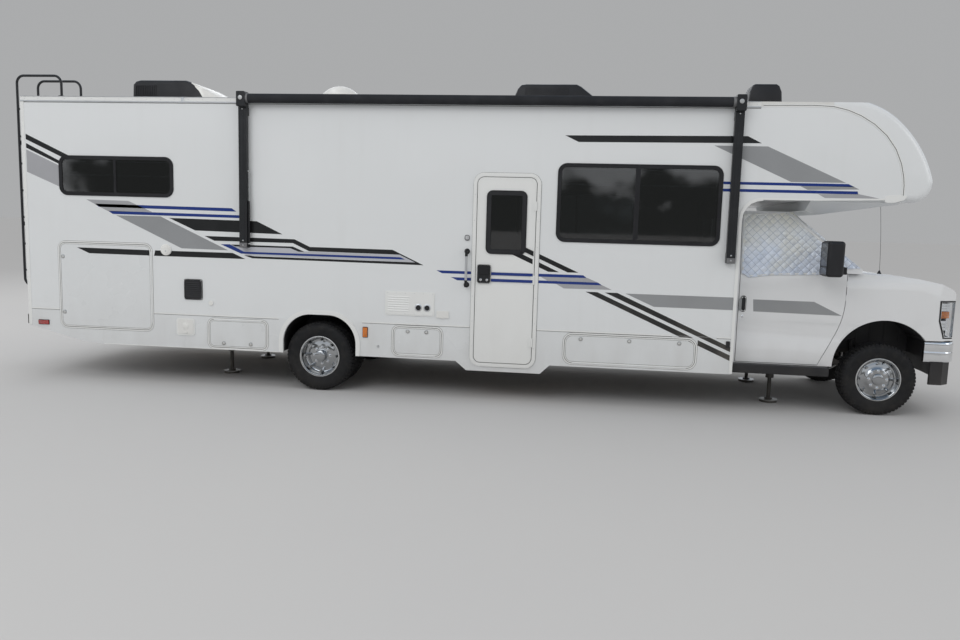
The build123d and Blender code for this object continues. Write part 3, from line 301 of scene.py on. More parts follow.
def make_panel_skin():
    """Long shallow waves of a bonded panel under the fine orange peel of its finish."""
    tree, wire, given, out = effect("panel_skin", (("Wave Depth", 0.0015), ("Peel Depth", 0.00002)), "Normal")
    broad = wire.noise(wire.stretched((0.9, 0.9, 0.5)), 1.3, 1.0)
    fine = wire.noise(wire.place(), 320.0, 2.0)
    first = wire.bump(broad, given["Wave Depth"])
    wire.feed(out, wire.bump(fine, given["Peel Depth"], first))
    return tree


def make_road_film():
    """Dust that thins out upward from the road, patchy and a little streaked."""
    tree, wire, given, out = effect("road_film", (("Low", 0.3), ("High", 1.4), ("Amount", 0.5)), "Mask")
    height = wire.parts(wire.place())["Z"]
    fade = wire.span(height, given["High"], given["Low"])
    patch = wire.noise(wire.stretched((3.0, 3.0, 1.2)), 1.6, 6.0)
    patchy = wire.math("ADD", wire.span(patch, 0.35, 0.7), 0.35)
    fade = wire.math("POWER", fade, 1.6)
    wire.feed(out, wire.math("MULTIPLY", wire.math("MULTIPLY", fade, patchy), given["Amount"], True))
    return tree


def make_rain_streaks():
    """Faint runs of dirty water down a wall."""
    tree, wire, given, out = effect("rain_streaks", (("Width", 9.0), ("Amount", 0.2)), "Mask")
    lines = wire.noise(wire.stretched((1.0, 1.0, 0.035)), given["Width"], 5.0)
    breaks = wire.noise(wire.stretched((0.6, 0.6, 1.0)), 2.2, 2.0)
    streak = wire.math("MULTIPLY", wire.span(lines, 0.52, 0.74), wire.span(breaks, 0.35, 0.65))
    wire.feed(out, wire.math("MULTIPLY", streak, given["Amount"], True))
    return tree


def make_patches():
    """Clouded patches, for uneven sheen, scuffs and rust."""
    tree, wire, given, out = effect("patches", (("Scale", 4.0), ("Level", 0.5), ("Softness", 0.15)), "Mask")
    cloud = wire.noise(wire.place(), given["Scale"], 8.0)
    top = wire.math("ADD", given["Level"], given["Softness"])
    wire.feed(out, wire.span(cloud, given["Level"], top))
    return tree


def make_moulded_grain():
    """Pebbled surface of moulded plastic."""
    tree, wire, given, out = effect("moulded_grain", (("Scale", 700.0), ("Depth", 0.0001)), "Normal")
    cells = wire.node("TexVoronoi", Vector=wire.place(), Scale=given["Scale"]).outputs["Distance"]
    wire.feed(out, wire.bump(cells, given["Depth"]))
    return tree


def make_weave():
    """Height of a plain weave, its threads along and across."""
    tree, wire, given, out = effect("weave", (("Threads", 900.0), ("Depth", 1.0)), "Height")
    places = wire.parts(wire.place())
    across = wire.math("SINE", wire.math("MULTIPLY", places["X"], given["Threads"]))
    along = wire.math("SINE", wire.math("MULTIPLY", places["Z"], given["Threads"]))
    wire.feed(out, wire.math("MULTIPLY", wire.math("MULTIPLY", across, along), given["Depth"]))
    return tree


EFFECT = {
    "skin": make_panel_skin(),
    "film": make_road_film(),
    "streaks": make_rain_streaks(),
    "patches": make_patches(),
    "grain": make_moulded_grain(),
    "weave": make_weave(),
}
ROAD_DUST = (0.30, 0.27, 0.23)
RAIN_DIRT = (0.45, 0.44, 0.40)
FINISH = {}


class Finish:
    """One material: its shader, the colour and roughness that reach it, and the wiring to add to them."""

    def __init__(self, name, colour, roughness, **fixed):
        self.name = name
        self.material = bpy.data.materials.new(name)
        self.material.use_nodes = True
        self.wire = Wiring(self.material.node_tree)
        self.shader = self.material.node_tree.nodes["Principled BSDF"]
        for label, value in fixed.items():
            self.shader.inputs[label.replace("_", " ")].default_value = value
        self.colour = (*colour, 1)
        self.roughness = roughness
        self.material.diffuse_color = self.colour
        FINISH[name] = self.material

    def tint(self, mask, colour):
        self.colour = self.wire.mix(mask, self.colour, (*colour, 1))

    def patches(self, scale, level, softness):
        return self.wire.group(EFFECT["patches"], Scale=scale, Level=level, Softness=softness)

    def mottle(self, scale, colour, level, softness):
        self.tint(self.patches(scale, level, softness), colour)

    def sheen_patches(self, scale, rough, level=0.45, softness=0.3):
        self.roughness = self.wire.span(self.patches(scale, level, softness), 0, 1, self.roughness, rough)

    def film(self, low, high, amount, colour=ROAD_DUST):
        self.tint(self.wire.group(EFFECT["film"], Low=low, High=high, Amount=amount), colour)

    def streaks(self, width, amount):
        self.tint(self.wire.group(EFFECT["streaks"], Width=width, Amount=amount), RAIN_DIRT)

    def done(self, normal=None):
        self.wire.feed(self.shader.inputs["Base Color"], self.colour)
        self.wire.feed(self.shader.inputs["Roughness"], self.roughness)
        if normal is not None:
            self.wire.feed(self.shader.inputs["Normal"], normal)


def panel_finish(name, colour, roughness, wave, film=0.12, streaks=0.05, coat=0.3):
    """Gelcoat, paint or sheet on a broad panel."""
    made = Finish(name, colour, roughness, Coat_Weight=coat, Coat_Roughness=0.04)
    made.mottle(0.4, [c * 0.975 for c in colour], 0.2, 0.7)
    made.streaks(8.0, streaks)
    made.film(0.3, 1.2, film)
    made.sheen_patches(0.8, roughness + 0.06, 0.2, 0.7)
    made.done(made.wire.group(EFFECT["skin"], Wave_Depth=wave, Peel_Depth=0.00002))


def plastic_finish(name, colour, roughness, grain=0.00008, film=0.08, scale=700.0):
    made = Finish(name, colour, roughness, Specular_IOR_Level=0.3)
    made.mottle(6.0, [c * 1.35 + 0.004 for c in colour], 0.5, 0.3)
    made.film(0.1, 1.3, film)
    made.sheen_patches(5.0, min(roughness + 0.15, 1))
    made.done(made.wire.group(EFFECT["grain"], Scale=scale, Depth=grain))


def metal_finish(name, colour, roughness, film=0.15, peel=0.00001):
    made = Finish(name, colour, roughness, Metallic=1.0)
    made.mottle(9.0, [c * 0.86 for c in colour], 0.5, 0.25)
    made.film(0.05, 1.0, film)
    made.sheen_patches(12.0, roughness + 0.2, 0.5, 0.3)
    made.done(made.wire.group(EFFECT["skin"], Wave_Depth=0.0, Peel_Depth=peel))


def vinyl_finish(name, colour, roughness=0.3):
    made = Finish(name, colour, roughness, Coat_Weight=0.1, Coat_Roughness=0.1, Specular_IOR_Level=0.25)
    made.mottle(2.5, [c * 0.88 + 0.01 for c in colour], 0.42, 0.35)
    made.film(0.35, 1.5, 0.25)
    made.sheen_patches(4.0, roughness + 0.12)
    made.done(made.wire.group(EFFECT["skin"], Wave_Depth=0.0015, Peel_Depth=0.00001))


def glass_finish(name, colour, bend=1.45):
    made = Finish(name, colour, 0.02, IOR=bend, Transmission_Weight=1.0)
    made.film(0.5, 3.0, 0.05)
    made.sheen_patches(3.0, 0.05)
    made.done(made.wire.group(EFFECT["skin"], Wave_Depth=0.0004, Peel_Depth=0.0))


def lens_finish(name, colour, ribs):
    """Ribbed lamp lens with its light tinted through."""
    made = Finish(name, colour, 0.08, IOR=1.49, Coat_Weight=0.5)
    made.mottle(14.0, [c * 0.75 for c in colour], 0.45, 0.3)
    made.film(0.3, 1.5, 0.12)
    height = made.wire.math("SINE", made.wire.math("MULTIPLY", made.wire.parts(made.wire.place())["Z"], ribs))
    made.done(made.wire.bump(height, 0.0006))


def make_finishes():
    panel_finish("coach_gelcoat", (0.77, 0.79, 0.80), 0.22, wave=0.0018)
    panel_finish("cab_paint", (0.76, 0.77, 0.78), 0.16, wave=0.0004, film=0.14, streaks=0.02, coat=0.6)
    panel_finish("skirt_paint", (0.74, 0.76, 0.77), 0.25, wave=0.0012, film=0.2)
    panel_finish("white_trim", (0.80, 0.81, 0.80), 0.33, wave=0.0002, coat=0.1)
    panel_finish("roof_membrane", (0.72, 0.72, 0.70), 0.62, wave=0.0025, film=0.0, streaks=0.35, coat=0.0)
    plastic_finish("black_plastic", (0.018, 0.018, 0.020), 0.42)
    plastic_finish("satin_black", (0.014, 0.014, 0.016), 0.3, grain=0.00003)
    plastic_finish("grey_plastic", (0.16, 0.16, 0.165), 0.5)
    plastic_finish("white_plastic", (0.76, 0.76, 0.74), 0.38, grain=0.00004)
    plastic_finish("black_rubber", (0.012, 0.012, 0.012), 0.6, grain=0.00006)
    plastic_finish("chassis_paint", (0.016, 0.016, 0.017), 0.45, grain=0.00005, film=0.25, scale=400.0)
    plastic_finish("seat_cloth", (0.10, 0.10, 0.11), 0.9, grain=0.0004, film=0.0, scale=1400.0)
    plastic_finish("floor_ply", (0.30, 0.20, 0.11), 0.55, grain=0.0001, film=0.3)
    plastic_finish("arm_black", (0.016, 0.017, 0.019), 0.34, grain=0.00002, film=0.1)
    metal_finish("chrome", (0.78, 0.79, 0.80), 0.05)
    metal_finish("aluminium", (0.62, 0.63, 0.64), 0.3, film=0.2)
    metal_finish("cast_iron", (0.10, 0.09, 0.085), 0.55, film=0.5, peel=0.0002)
    metal_finish("zinc_steel", (0.50, 0.50, 0.49), 0.35, film=0.3)
    # A darker copy of the chrome for the wheel liners' dish: painted shade and painted dark reflection, while
    # the lips stay chrome
    metal_finish("chrome_dish_painted_shade", (0.40, 0.41, 0.42), 0.07)
    metal_finish("mirror_glass", (0.085, 0.09, 0.10), 0.03, film=0.05)
    metal_finish("lamp_bowl", (0.92, 0.93, 0.94), 0.28, film=0.0)
    vinyl_finish("vinyl_black", (0.012, 0.013, 0.014))
    vinyl_finish("vinyl_blue", (0.012, 0.038, 0.215))
    vinyl_finish("vinyl_light_grey", (0.385, 0.39, 0.41))
    vinyl_finish("vinyl_dark_grey", (0.30, 0.31, 0.32))
    vinyl_finish("vinyl_silver", (0.50, 0.51, 0.55), 0.35)
    glass_finish("dark_glass", (0.10, 0.11, 0.115), 1.85)
    glass_finish("clear_glass", (0.80, 0.86, 0.85))
    lens_finish("clear_lens", (0.55, 0.56, 0.57), 900.0)
    lens_finish("amber_lens", (0.75, 0.20, 0.012), 1500.0)
    lens_finish("red_lens", (0.42, 0.012, 0.010), 1500.0)
    glass_finish("lamp_cover", (0.95, 0.96, 0.97), 1.12)
    make_tyre_rubber()
    make_quilt_cloth("flap_cloth", *FLAP_DIAGONALS)
    make_quilt_cloth("screen_cloth", *SCREEN_DIAGONALS)
    make_binding_cloth()
    plastic_finish("shade_cloth", (0.42, 0.40, 0.36), 0.85, grain=0.0002, film=0.0, scale=1600.0)
    plastic_finish("awning_cloth", (0.020, 0.021, 0.024), 0.75, grain=0.0002, film=0.05, scale=1300.0)
    # Thin dark lines laid flush along edges of hatches, doors, lids, rails, mouldings and seams: painted
    # shadow lines
    plastic_finish("painted_seam_shadow", (0.10, 0.10, 0.10), 0.6, grain=0.0001, film=0.05)
    make_floor_finish()


def make_tyre_rubber():
    made = Finish("tyre_rubber", (0.011, 0.011, 0.012), 0.6, Specular_IOR_Level=0.25)
    made.mottle(16.0, (0.020, 0.019, 0.018), 0.45, 0.25)
    made.film(0.0, 0.5, 0.15, (0.07, 0.06, 0.05))
    made.sheen_patches(20.0, 0.8)
    made.done(made.wire.group(EFFECT["grain"], Scale=900.0, Depth=0.00012))


# Side of a stitched diamond, and the ways that its stitch lines step on the side flaps and on the screen
DIAMOND = 0.056
DIAGONAL = math.sqrt(0.5)
FLAP_DIAGONALS = ((DIAGONAL, 0, DIAGONAL), (DIAGONAL, 0, -DIAGONAL))
SCREEN_DIAGONALS = ((0.549, 0.7071, -0.4457), (-0.549, 0.7071, 0.4457))
# Heights between which age has yellowed the cloth
AGED = (1.60, 1.98)


def make_quilt_cloth(name, first, second):
    """Silvered cloth, each diamond lightened by its own painted highlight, with sunk stitch lines along both
    axes darkened by painted shade.
    """
    made = Finish(name, (0.62, 0.67, 0.76), 0.34, Metallic=0.45, Sheen_Weight=0.25)
    wire = made.wire
    place = wire.place()
    steps, lines = [], []
    for axis in (first, second):
        along = wire.node("VectorMath", {"operation": "DOT_PRODUCT"})
        wire.feed(along.inputs[0], place)
        wire.feed(along.inputs[1], axis)
        cell = wire.math("DIVIDE", along.outputs["Value"], DIAMOND)
        steps.append(wire.math("FLOOR", cell))
        lines.append(wire.math("ABSOLUTE", wire.math("SUBTRACT", wire.math("FRACT", cell), 0.5)))
    joined = wire.node("CombineXYZ")
    wire.feed(joined.inputs[0], steps[0])
    wire.feed(joined.inputs[1], steps[1])
    # Each diamond is lightened by its own random share: a painted highlight that differs from diamond to
    # diamond
    diamond_highlight = wire.node("TexWhiteNoise", {"noise_dimensions": "2D"}, Vector=joined.outputs[0]).outputs[0]
    made.tint(wire.math("MULTIPLY", diamond_highlight, 0.55), (0.80, 0.83, 0.88))
    made.mottle(2.6, (0.70, 0.69, 0.62), 0.48, 0.22)
    made.mottle(9.0, (0.48, 0.53, 0.62), 0.50, 0.3)
    aged = wire.math("MULTIPLY", wire.span(wire.parts(place)["Z"], *AGED), wire.noise(place, 5.0))
    made.tint(aged, (0.74, 0.70, 0.54))
    # Stitch lines tinted dark blue-grey: painted shade in their sunk creases
    seam = wire.span(wire.math("MAXIMUM", *lines), 0.455, 0.49)
    made.tint(wire.math("MULTIPLY", seam, 0.8), (0.24, 0.28, 0.36))
    made.sheen_patches(30.0, 0.6)
    weave = wire.group(EFFECT["weave"], Threads=1500.0, Depth=1.0)
    crumple = wire.noise(wire.place(), 38.0, 4.0)
    made.done(wire.bump(weave, 0.0002, wire.bump(crumple, 0.004)))


def make_binding_cloth():
    made = Finish("binding_cloth", (0.74, 0.75, 0.75), 0.7, Sheen_Weight=0.2)
    made.mottle(18.0, (0.60, 0.60, 0.58), 0.45, 0.3)
    made.sheen_patches(30.0, 0.85)
    weave = made.wire.group(EFFECT["weave"], Threads=2600.0, Depth=1.0)
    made.done(made.wire.bump(weave, 0.00025))


def make_floor_finish():
    made = Finish("floor", (0.60, 0.60, 0.60), 0.75, Specular_IOR_Level=0.0)
    made.mottle(0.35, (0.585, 0.585, 0.59), 0.3, 0.6)
    made.done()


# Meshes

AXES = {"X": (1, 2), "Y": (0, 2), "Z": (0, 1)}


def spread(flat, axis, depth):
    """A point of an outline drawn on the two axes other than the named one, put at a depth along that one."""
    point = [0.0, 0.0, 0.0]
    first, second = AXES[axis]
    point[first], point[second] = flat
    point["XYZ".index(axis)] = depth
    return Vector(point)


def angles(steps):
    """Angles of one whole turn, evenly spaced."""
    return [2 * math.pi * k / steps for k in range(steps)]


def circles(profile, centre, axis, steps):
    """A ring of points round an axis for each (radius, depth) of a profile."""
    return [[Vector(centre) + spread((radius * math.cos(a), radius * math.sin(a)), axis, depth)
             for a in angles(steps)]
            for radius, depth in profile]


class Solid:
    """Gathers closed forms, each with its material, into one piece."""

    def __init__(self):
        self.mesh = bmesh.new()
        self.materials = []

    def index(self, material):
        if material not in self.materials:
            self.materials.append(material)
        return self.materials.index(material)

    def cover(self, rings, material, smooth, ends):
        """Faces between rings of points, in order along the form: its ends closed flat, or joined round."""
        made = [[self.mesh.verts.new(p) for p in ring] for ring in rings]
        count = len(made[0])
        faces = []
        for lower, upper in zip(made, made[1:] if ends else made[1:] + made[:1]):
            for i in range(count):
                j = (i + 1) % count
                faces.append(self.mesh.faces.new((lower[i], lower[j], upper[j], upper[i])))
        if ends:
            faces.append(self.mesh.faces.new(reversed(made[0])))
            faces.append(self.mesh.faces.new(made[-1]))
        number = self.index(material)
        for face in faces:
            face.material_index = number
            face.smooth = smooth
        bmesh.ops.recalc_face_normals(self.mesh, faces=faces)

    def skin(self, rings, material, smooth=True):
        """A solid form drawn by rings of points, with flat ends."""
        self.cover(rings, material, smooth, True)

    def loop(self, rings, material, smooth=False):
        """Rings joined round on themselves, the last to the first."""
        self.cover(rings, material, smooth, False)

    def prism(self, outline, axis, low, high, material, rim=0.0):
        """An outline carried along an axis, its edges eased by the rim."""
        if rim:
            inner = shrunk(outline, rim)
            levels = ((inner, low), (outline, low + rim), (outline, high - rim), (inner, high))
            rings = [[spread(p, axis, depth) for p in ring] for ring, depth in levels]
        else:
            rings = [[spread(p, axis, low) for p in outline], [spread(p, axis, high) for p in outline]]
        self.skin(rings, material)

    def ring(self, outer, inner, axis, low, high, material):
        """A frame between two outlines of as many points."""
        corners = ((outer, low), (outer, high), (inner, high), (inner, low))
        self.loop([[spread(p, axis, depth) for p in outline] for outline, depth in corners], material)

    def turned(self, profile, centre, axis, material, steps):
        """A closed profile of (radius, depth) turned round an axis."""
        self.loop(circles(profile, centre, axis, steps), material, True)

    def knob(self, profile, centre, axis, material, steps):
        """A solid turned form: its profile of (radius, depth) starts and ends near the axis."""
        self.skin(circles(profile, centre, axis, steps), material)

    def tube(self, path, radius, material, sides):
        """A round bar along points, its ends flat."""
        points = [Vector(p) for p in path]
        rings = []
        side = None
        for k, point in enumerate(points):
            ahead = points[min(k + 1, len(points) - 1)] - points[max(k - 1, 0)]
            ahead.normalize()
            if side is None:
                side = ahead.orthogonal().normalized()
            side = (side - ahead * side.dot(ahead)).normalized()
            up = ahead.cross(side)
            rings.append([point + radius * (math.cos(a) * side + math.sin(a) * up) for a in angles(sides)])
        self.skin(rings, material)

    def block(self, low, high, material, rim=0.0):
        self.prism(rect(low[0], high[0], low[1], high[1]), "Z", low[2], high[2], material, rim)

    def take(self, form, material):
        """Moves another mesh's faces into this piece, and empties that mesh."""
        made = {v: self.mesh.verts.new(v.co) for v in form.verts}
        number = self.index(material)
        for face in form.faces:
            copy = self.mesh.faces.new([made[v] for v in face.verts])
            copy.material_index = number
            copy.smooth = face.smooth
        form.free()

    def build(self, name, sharp=35):
        data = bpy.data.meshes.new(name)
        self.mesh.to_mesh(data)
        self.mesh.free()
        for material in self.materials:
            data.materials.append(material)
        data.set_sharp_from_angle(angle=math.radians(sharp))
        made = bpy.data.objects.new(name, data)
        bpy.context.scene.collection.objects.link(made)
        return made


# How far a sharp corner may run on in an outline moved in, the steps of a round corner, the width of a seam
SHARPEST = 0.3
CORNER_STEPS = 6
MERGED = 0.00002


def signed_area(outline):
    """Area of an outline, above nothing where it runs anticlockwise."""
    return sum(a * d - c * b for (a, b), (c, d) in zip(outline, [*outline[1:], outline[0]])) / 2


def shrunk(outline, amount):
    """An outline moved in by an amount, its corners kept."""
    points = [Vector(p) for p in outline]
    steps = [(b - a).normalized() for a, b in zip(points, points[1:] + points[:1])]
    way = 1 if signed_area(outline) > 0 else -1
    moved = []
    for point, before, after in zip(points, steps[-1:] + steps[:-1], steps):
        normal = Vector((-(before.y + after.y), before.x + after.x)) * way
        reach = max(1 + before.dot(after), SHARPEST)
        moved.append(tuple(point + normal * amount / reach))
    return moved


def rounded(x0, x1, z0, z1, radius):
    """A rectangle with round corners, anticlockwise from its lower right corner."""
    points = []
    left, right, low, high = x0 + radius, x1 - radius, z0 + radius, z1 - radius
    for cx, cz, start in ((right, low, -90), (right, high, 0), (left, high, 90), (left, low, 180)):
        for k in range(CORNER_STEPS + 1):
            angle = math.radians(start + 90 * k / CORNER_STEPS)
            points.append((cx + radius * math.cos(angle), cz + radius * math.sin(angle)))
    return points


def merged(node):
    """A node's own form with the doubles along its seams merged."""
    form = bmesh.new()
    form.from_mesh(NODES[node].data)
    bmesh.ops.remove_doubles(form, verts=form.verts, dist=MERGED)
    return form


def dress(made, body, replaces=()):
    """A finished piece goes on its body."""
    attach(made, body)
    if replaces:
        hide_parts(*replaces)


# Faces that turn by less than this lie in one plane, and edges that turn by more degrees than this stay sharp
FLAT_ANGLE = 0.004
SHARP = 30
# A group of faces this many times the area of those beside it is a flat, not a part of their curve
FLAT_SHARE = 8


def planes(form):
    """Groups of faces that lie in one plane together, by face, and the area of each group."""
    group, areas = {}, []
    for first in form.faces:
        if first in group:
            continue
        group[first], waiting, area = len(areas), [first], 0
        while waiting:
            face = waiting.pop()
            area += face.calc_area()
            for edge in face.edges:
                for other in edge.link_faces:
                    if other not in group and edge.calc_face_angle(9) < FLAT_ANGLE:
                        group[other] = len(areas)
                        waiting.append(other)
        areas.append(area)
    return group, areas


def smooth_copy(node, material):
    """The node's own form with its seams merged: curves shade smoothly, and flats beside them stay flat."""
    form = merged(node)
    group, areas = planes(form)
    beside = {}
    for edge in form.edges:
        if len(edge.link_faces) == 2 and FLAT_ANGLE < edge.calc_face_angle() < math.radians(SHARP):
            first, second = (group[face] for face in edge.link_faces)
            beside[first] = max(beside.get(first, 0), areas[second])
            beside[second] = max(beside.get(second, 0), areas[first])
    for face in form.faces:
        face.smooth = areas[group[face]] < FLAT_SHARE * beside.get(group[face], 0)
    data = bpy.data.meshes.new(node + "_shell")
    form.to_mesh(data)
    form.free()
    data.attributes.remove(data.attributes["custom_normal"])
    data.materials.append(material)
    data.set_sharp_from_angle(angle=math.radians(SHARP))
    made = bpy.data.objects.new(node + "_shell", data)
    bpy.context.scene.collection.objects.link(made)
    dress(made, NODES[node]["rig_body"], (node,))


make_camera()
bpy.context.scene.view_settings.view_transform = "Standard"
make_finishes()
make_world()
make_lights()
make_floor()


# Finishes of the model's own pieces

NODE_FINISH = {
    "coach_gelcoat": ("side_wall_right", "side_wall_left", "rear_wall", "front_bulkhead", "nose_cap",
                      "berth_floor"),
    "roof_membrane": ("roof_panel",),
    "skirt_paint": ("skirts", "hatch_rear_right", "hatch_axle_right", "hatch_step_right", "hatch_front_right",
                    "hatch_front_left"),
    "white_trim": ("entry_frame", "entry_leaf", "wall_fittings"),
    "floor_ply": ("coach_floor",),
    "satin_black": ("window_frames",),
    "dark_glass": ("window_glass", "entry_glass"),
    "grey_plastic": ("storage_tubs", "dashboard"),
    "black_plastic": ("wheel_wells", "lower_trim", "mirror_right", "mirror_left", "underfloor_tanks"),
    "cab_paint": ("cab_shell", "front_wings", "hood", "cab_door_right", "cab_door_left"),
    "clear_glass": ("cab_glass_right", "cab_glass_left"),
    "chrome": ("grille",),
    "seat_cloth": ("cab_seats",),
    "cast_iron": ("engine_block", "rear_axle", "front_axle", "knuckle_right", "knuckle_left"),
    "chassis_paint": ("chassis_frame", "rear_bumper", "levelling_jacks"),
    "arm_black": ("awning", "ladder"),
}


def finish_nodes():
    for finish, names in NODE_FINISH.items():
        for name in names:
            smooth_copy(name, FINISH[finish])


finish_nodes()


# Stripes

# Colour, panel set, outline in millimetres ahead of the rear axle and above the road
STRIPES = (
    ("vinyl_black", "rear", ((-3226, 2611), (-2737, 2390), (-2808, 2369), (-3226, 2554))),
    ("vinyl_black", "rear", ((-3226, 2514), (-2850, 2336), (-2850, 2300), (-3226, 2466))),
    ("vinyl_light_grey", "rear", ((-3226, 2447), (-2852, 2284), (-2852, 2062), (-3226, 2213))),
    ("vinyl_light_grey", "rear", ((-2555, 1936), (-2079, 1931), (-1811, 1821), (-2310, 1817))),
    ("vinyl_blue", "rear", ((-2458, 1894), (-935, 1883), (-883, 1849), (-2413, 1861))),
    ("vinyl_blue", "rear", ((-2310, 1822), (-800, 1812), (-736, 1783), (-2259, 1790))),
    ("vinyl_dark_grey", "rear", ((-2220, 1777), (-1722, 1778), (-978, 1446), (-1492, 1451))),
    ("vinyl_black", "rear", ((-1627, 1765), (-662, 1756), (-385, 1629), (-1338, 1642))),
    ("vinyl_silver", "under",
     ((-943, 1504), (-273, 1506), (-152, 1461), (862, 1458), (1015, 1388), (-780, 1399))),
    ("vinyl_black", "rear", (
        (-1235, 1588), (-257, 1582), (-92, 1508), (780, 1506), (1102, 1360),
        (1015, 1387), (854, 1459), (-100, 1464), (-273, 1542), (-1128, 1541))),
    ("vinyl_black", "rear",
     ((-805, 1399), (-742, 1399), (-690, 1393), (1019, 1386), (1102, 1360), (-714, 1371))),
    ("vinyl_black", "rear",
     ((-943, 1508), (-273, 1506), (-152, 1455), (-212, 1456), (-303, 1489), (-900, 1489))),
    ("vinyl_blue", "rear",
     ((-1058, 1507), (-958, 1510), (-805, 1437), (862, 1433), (913, 1411), (-836, 1416))),
    ("vinyl_black", "hatch", ((-2680, 1425), (-1853, 1420), (-1853, 1363), (-2538, 1366))),
    ("vinyl_black", "rear", ((-1790, 1420), (-928, 1420), (-790, 1361), (-1803, 1362))),
    ("vinyl_blue", "door", ((1236, 1314), (2712, 1316), (2749, 1287), (1296, 1286))),
    ("vinyl_blue", "door", ((1387, 1250), (2858, 1249), (2900, 1222), (1453, 1220))),
    ("vinyl_light_grey", "door", ((2291, 1286), (2755, 1290), (2858, 1248), (2368, 1246))),
    ("vinyl_light_grey", "door", ((2448, 1220), (2900, 1224), (2997, 1181), (2527, 1178))),
    ("vinyl_black", "door", ((2110, 1582), (2664, 1339), (2557, 1338), (2100, 1538))),
    ("vinyl_black", "door", ((2003, 1497), (2106, 1503), (2473, 1337), (2365, 1338))),
    ("vinyl_black", "front", ((2740, 1154), (2858, 1153), (4186, 573), (4186, 519))),
    ("vinyl_black", "front", ((2930, 1153), (3053, 1153), (4186, 653), (4186, 606))),
    ("vinyl_dark_grey", "front", ((3133, 1150), (4186, 1151), (4186, 1027), (3412, 1030))),
    ("vinyl_black", "corner", ((3728, 719), (3753, 719), (3783, 714), (3809, 697), (3826, 676))),
    ("vinyl_black", "nose", ((2479, 2669), (4198, 2684), (4328, 2619), (2614, 2607))),
    ("vinyl_dark_grey", "nose", ((3894, 2592), (4387, 2591), (5115, 2266), (4619, 2265))),
    ("vinyl_dark_grey", "nose", ((4705, 2229), (5184, 2234), (5237, 2208), (4775, 2195))),
    ("vinyl_light_grey", "nose", ((4871, 2158), (5230, 2166), (5422, 2128), (4936, 2122))),
    ("vinyl_blue", "lounge", ((3380, 2257), (5136, 2256), (5194, 2229), (3380, 2232))),
    ("vinyl_blue", "lounge", ((3380, 2190), (5223, 2190), (5231, 2162), (3380, 2163))),
)
FAR = 9000
WHOLE = (-FAR, FAR, 0, FAR)
# Panel sets other than the whole side wall: the pieces that carry them, each with the part that it shows
PANELS = {
    "right": {
        "hatch": (("hatch_rear_right", -FAR, -1850, 0, FAR),),
        "door": (("side_wall_right", -FAR, 1592, 0, FAR), ("entry_leaf", 1797, 2214, 0, FAR),
                 ("side_wall_right", 2272, FAR, 0, FAR)),
        "front": (("side_wall_right", -FAR, FAR, 754, FAR), ("skirts", 3640, FAR, 740, 752),
                  ("skirts", 3852, FAR, 0, 740)),
        "corner": (("hatch_front_right", *WHOLE),),
        "lounge": (("side_wall_right", 4000, FAR, 0, FAR),),
    },
    "left": {
        "front": (("side_wall_left", -FAR, FAR, 756, FAR), ("skirts", 3856, FAR, 0, 750)),
        "corner": (("hatch_front_left", *WHOLE),),
        "lounge": (("side_wall_left", 3396, FAR, 0, FAR),),
    },
}
CAB_STRIPES = (
    ((4268, 1124), (4293, 1124), (4293, 1003), (4268, 1004)),
    ((4404, 1120), (4987, 1118), (5259, 989), (4413, 999)),
)
# Width of the strips that let a film bend with a curved panel, millimetres
BENT_STEP = 60


def clipped(outline, place, limit, keep):
    """The part of an outline beside a line: place is 0 for x or 1 for z, keep is -1 below or 1 above."""
    kept = []
    for first, second in zip(outline, outline[1:] + outline[:1]):
        inside = [(p[place] - limit) * keep >= 0 for p in (first, second)]
        if inside[0]:
            kept.append(first)
        if inside[0] != inside[1]:
            share = (limit - first[place]) / (second[place] - first[place])
            kept.append(tuple(a + (b - a) * share for a, b in zip(first, second)))
    return kept


SKINS = {}
OUTSIDE_Y = 3


def surface(node):
    """A node's form, ready to be met by a ray."""
    if node not in SKINS:
        form = bmesh.new()
        form.from_mesh(NODES[node].data)
        SKINS[node] = BVHTree.FromBMesh(form)
        form.free()
    return SKINS[node]


def skin_point(node, x, z, side):
    """Where the outside of a node lies at a place on that side of the vehicle."""
    start = Vector((x, side * OUTSIDE_Y, z))
    hit = surface(node).ray_cast(start, Vector((0, -side, 0)))[0]
    return hit if hit is not None else surface(node).find_nearest(Vector((x, side * COACH_HALF, z)))[0]


def lay_decal(solid, outline, node, side, colour, lift, step=0):
    """A film of vinyl over a panel. With a step, it is cut into strips that bend with the panel."""
    film = bmesh.new()
    face = film.faces.new([film.verts.new((station(x), 0, z * MM)) for x, z in outline])
    face.normal_update()
    if step:
        for place in (0, 2):
            values = [v.co[place] for v in film.verts]
            cut = min(values) + step * MM
            while cut < max(values):
                normal = [0, 0, 0]
                normal[place] = 1
                geometry = film.verts[:] + film.edges[:] + film.faces[:]
                at = [cut if k == place else 0 for k in range(3)]
                bmesh.ops.bisect_plane(film, geom=geometry, plane_co=at, plane_no=normal)
                cut += step * MM
    lifted = bmesh.ops.extrude_face_region(film, geom=film.faces[:])
    depths = {v: skin_point(node, v.co.x, v.co.z, side).y for v in film.verts}
    outermost = max(depths.values(), key=abs)
    for v, depth in depths.items():
        v.co.y = depth if step else outermost
    for v in lifted["geom"]:
        if isinstance(v, bmesh.types.BMVert):
            v.co.y += side * lift
    bmesh.ops.recalc_face_normals(film, faces=film.faces[:])
    solid.take(film, FINISH[colour])


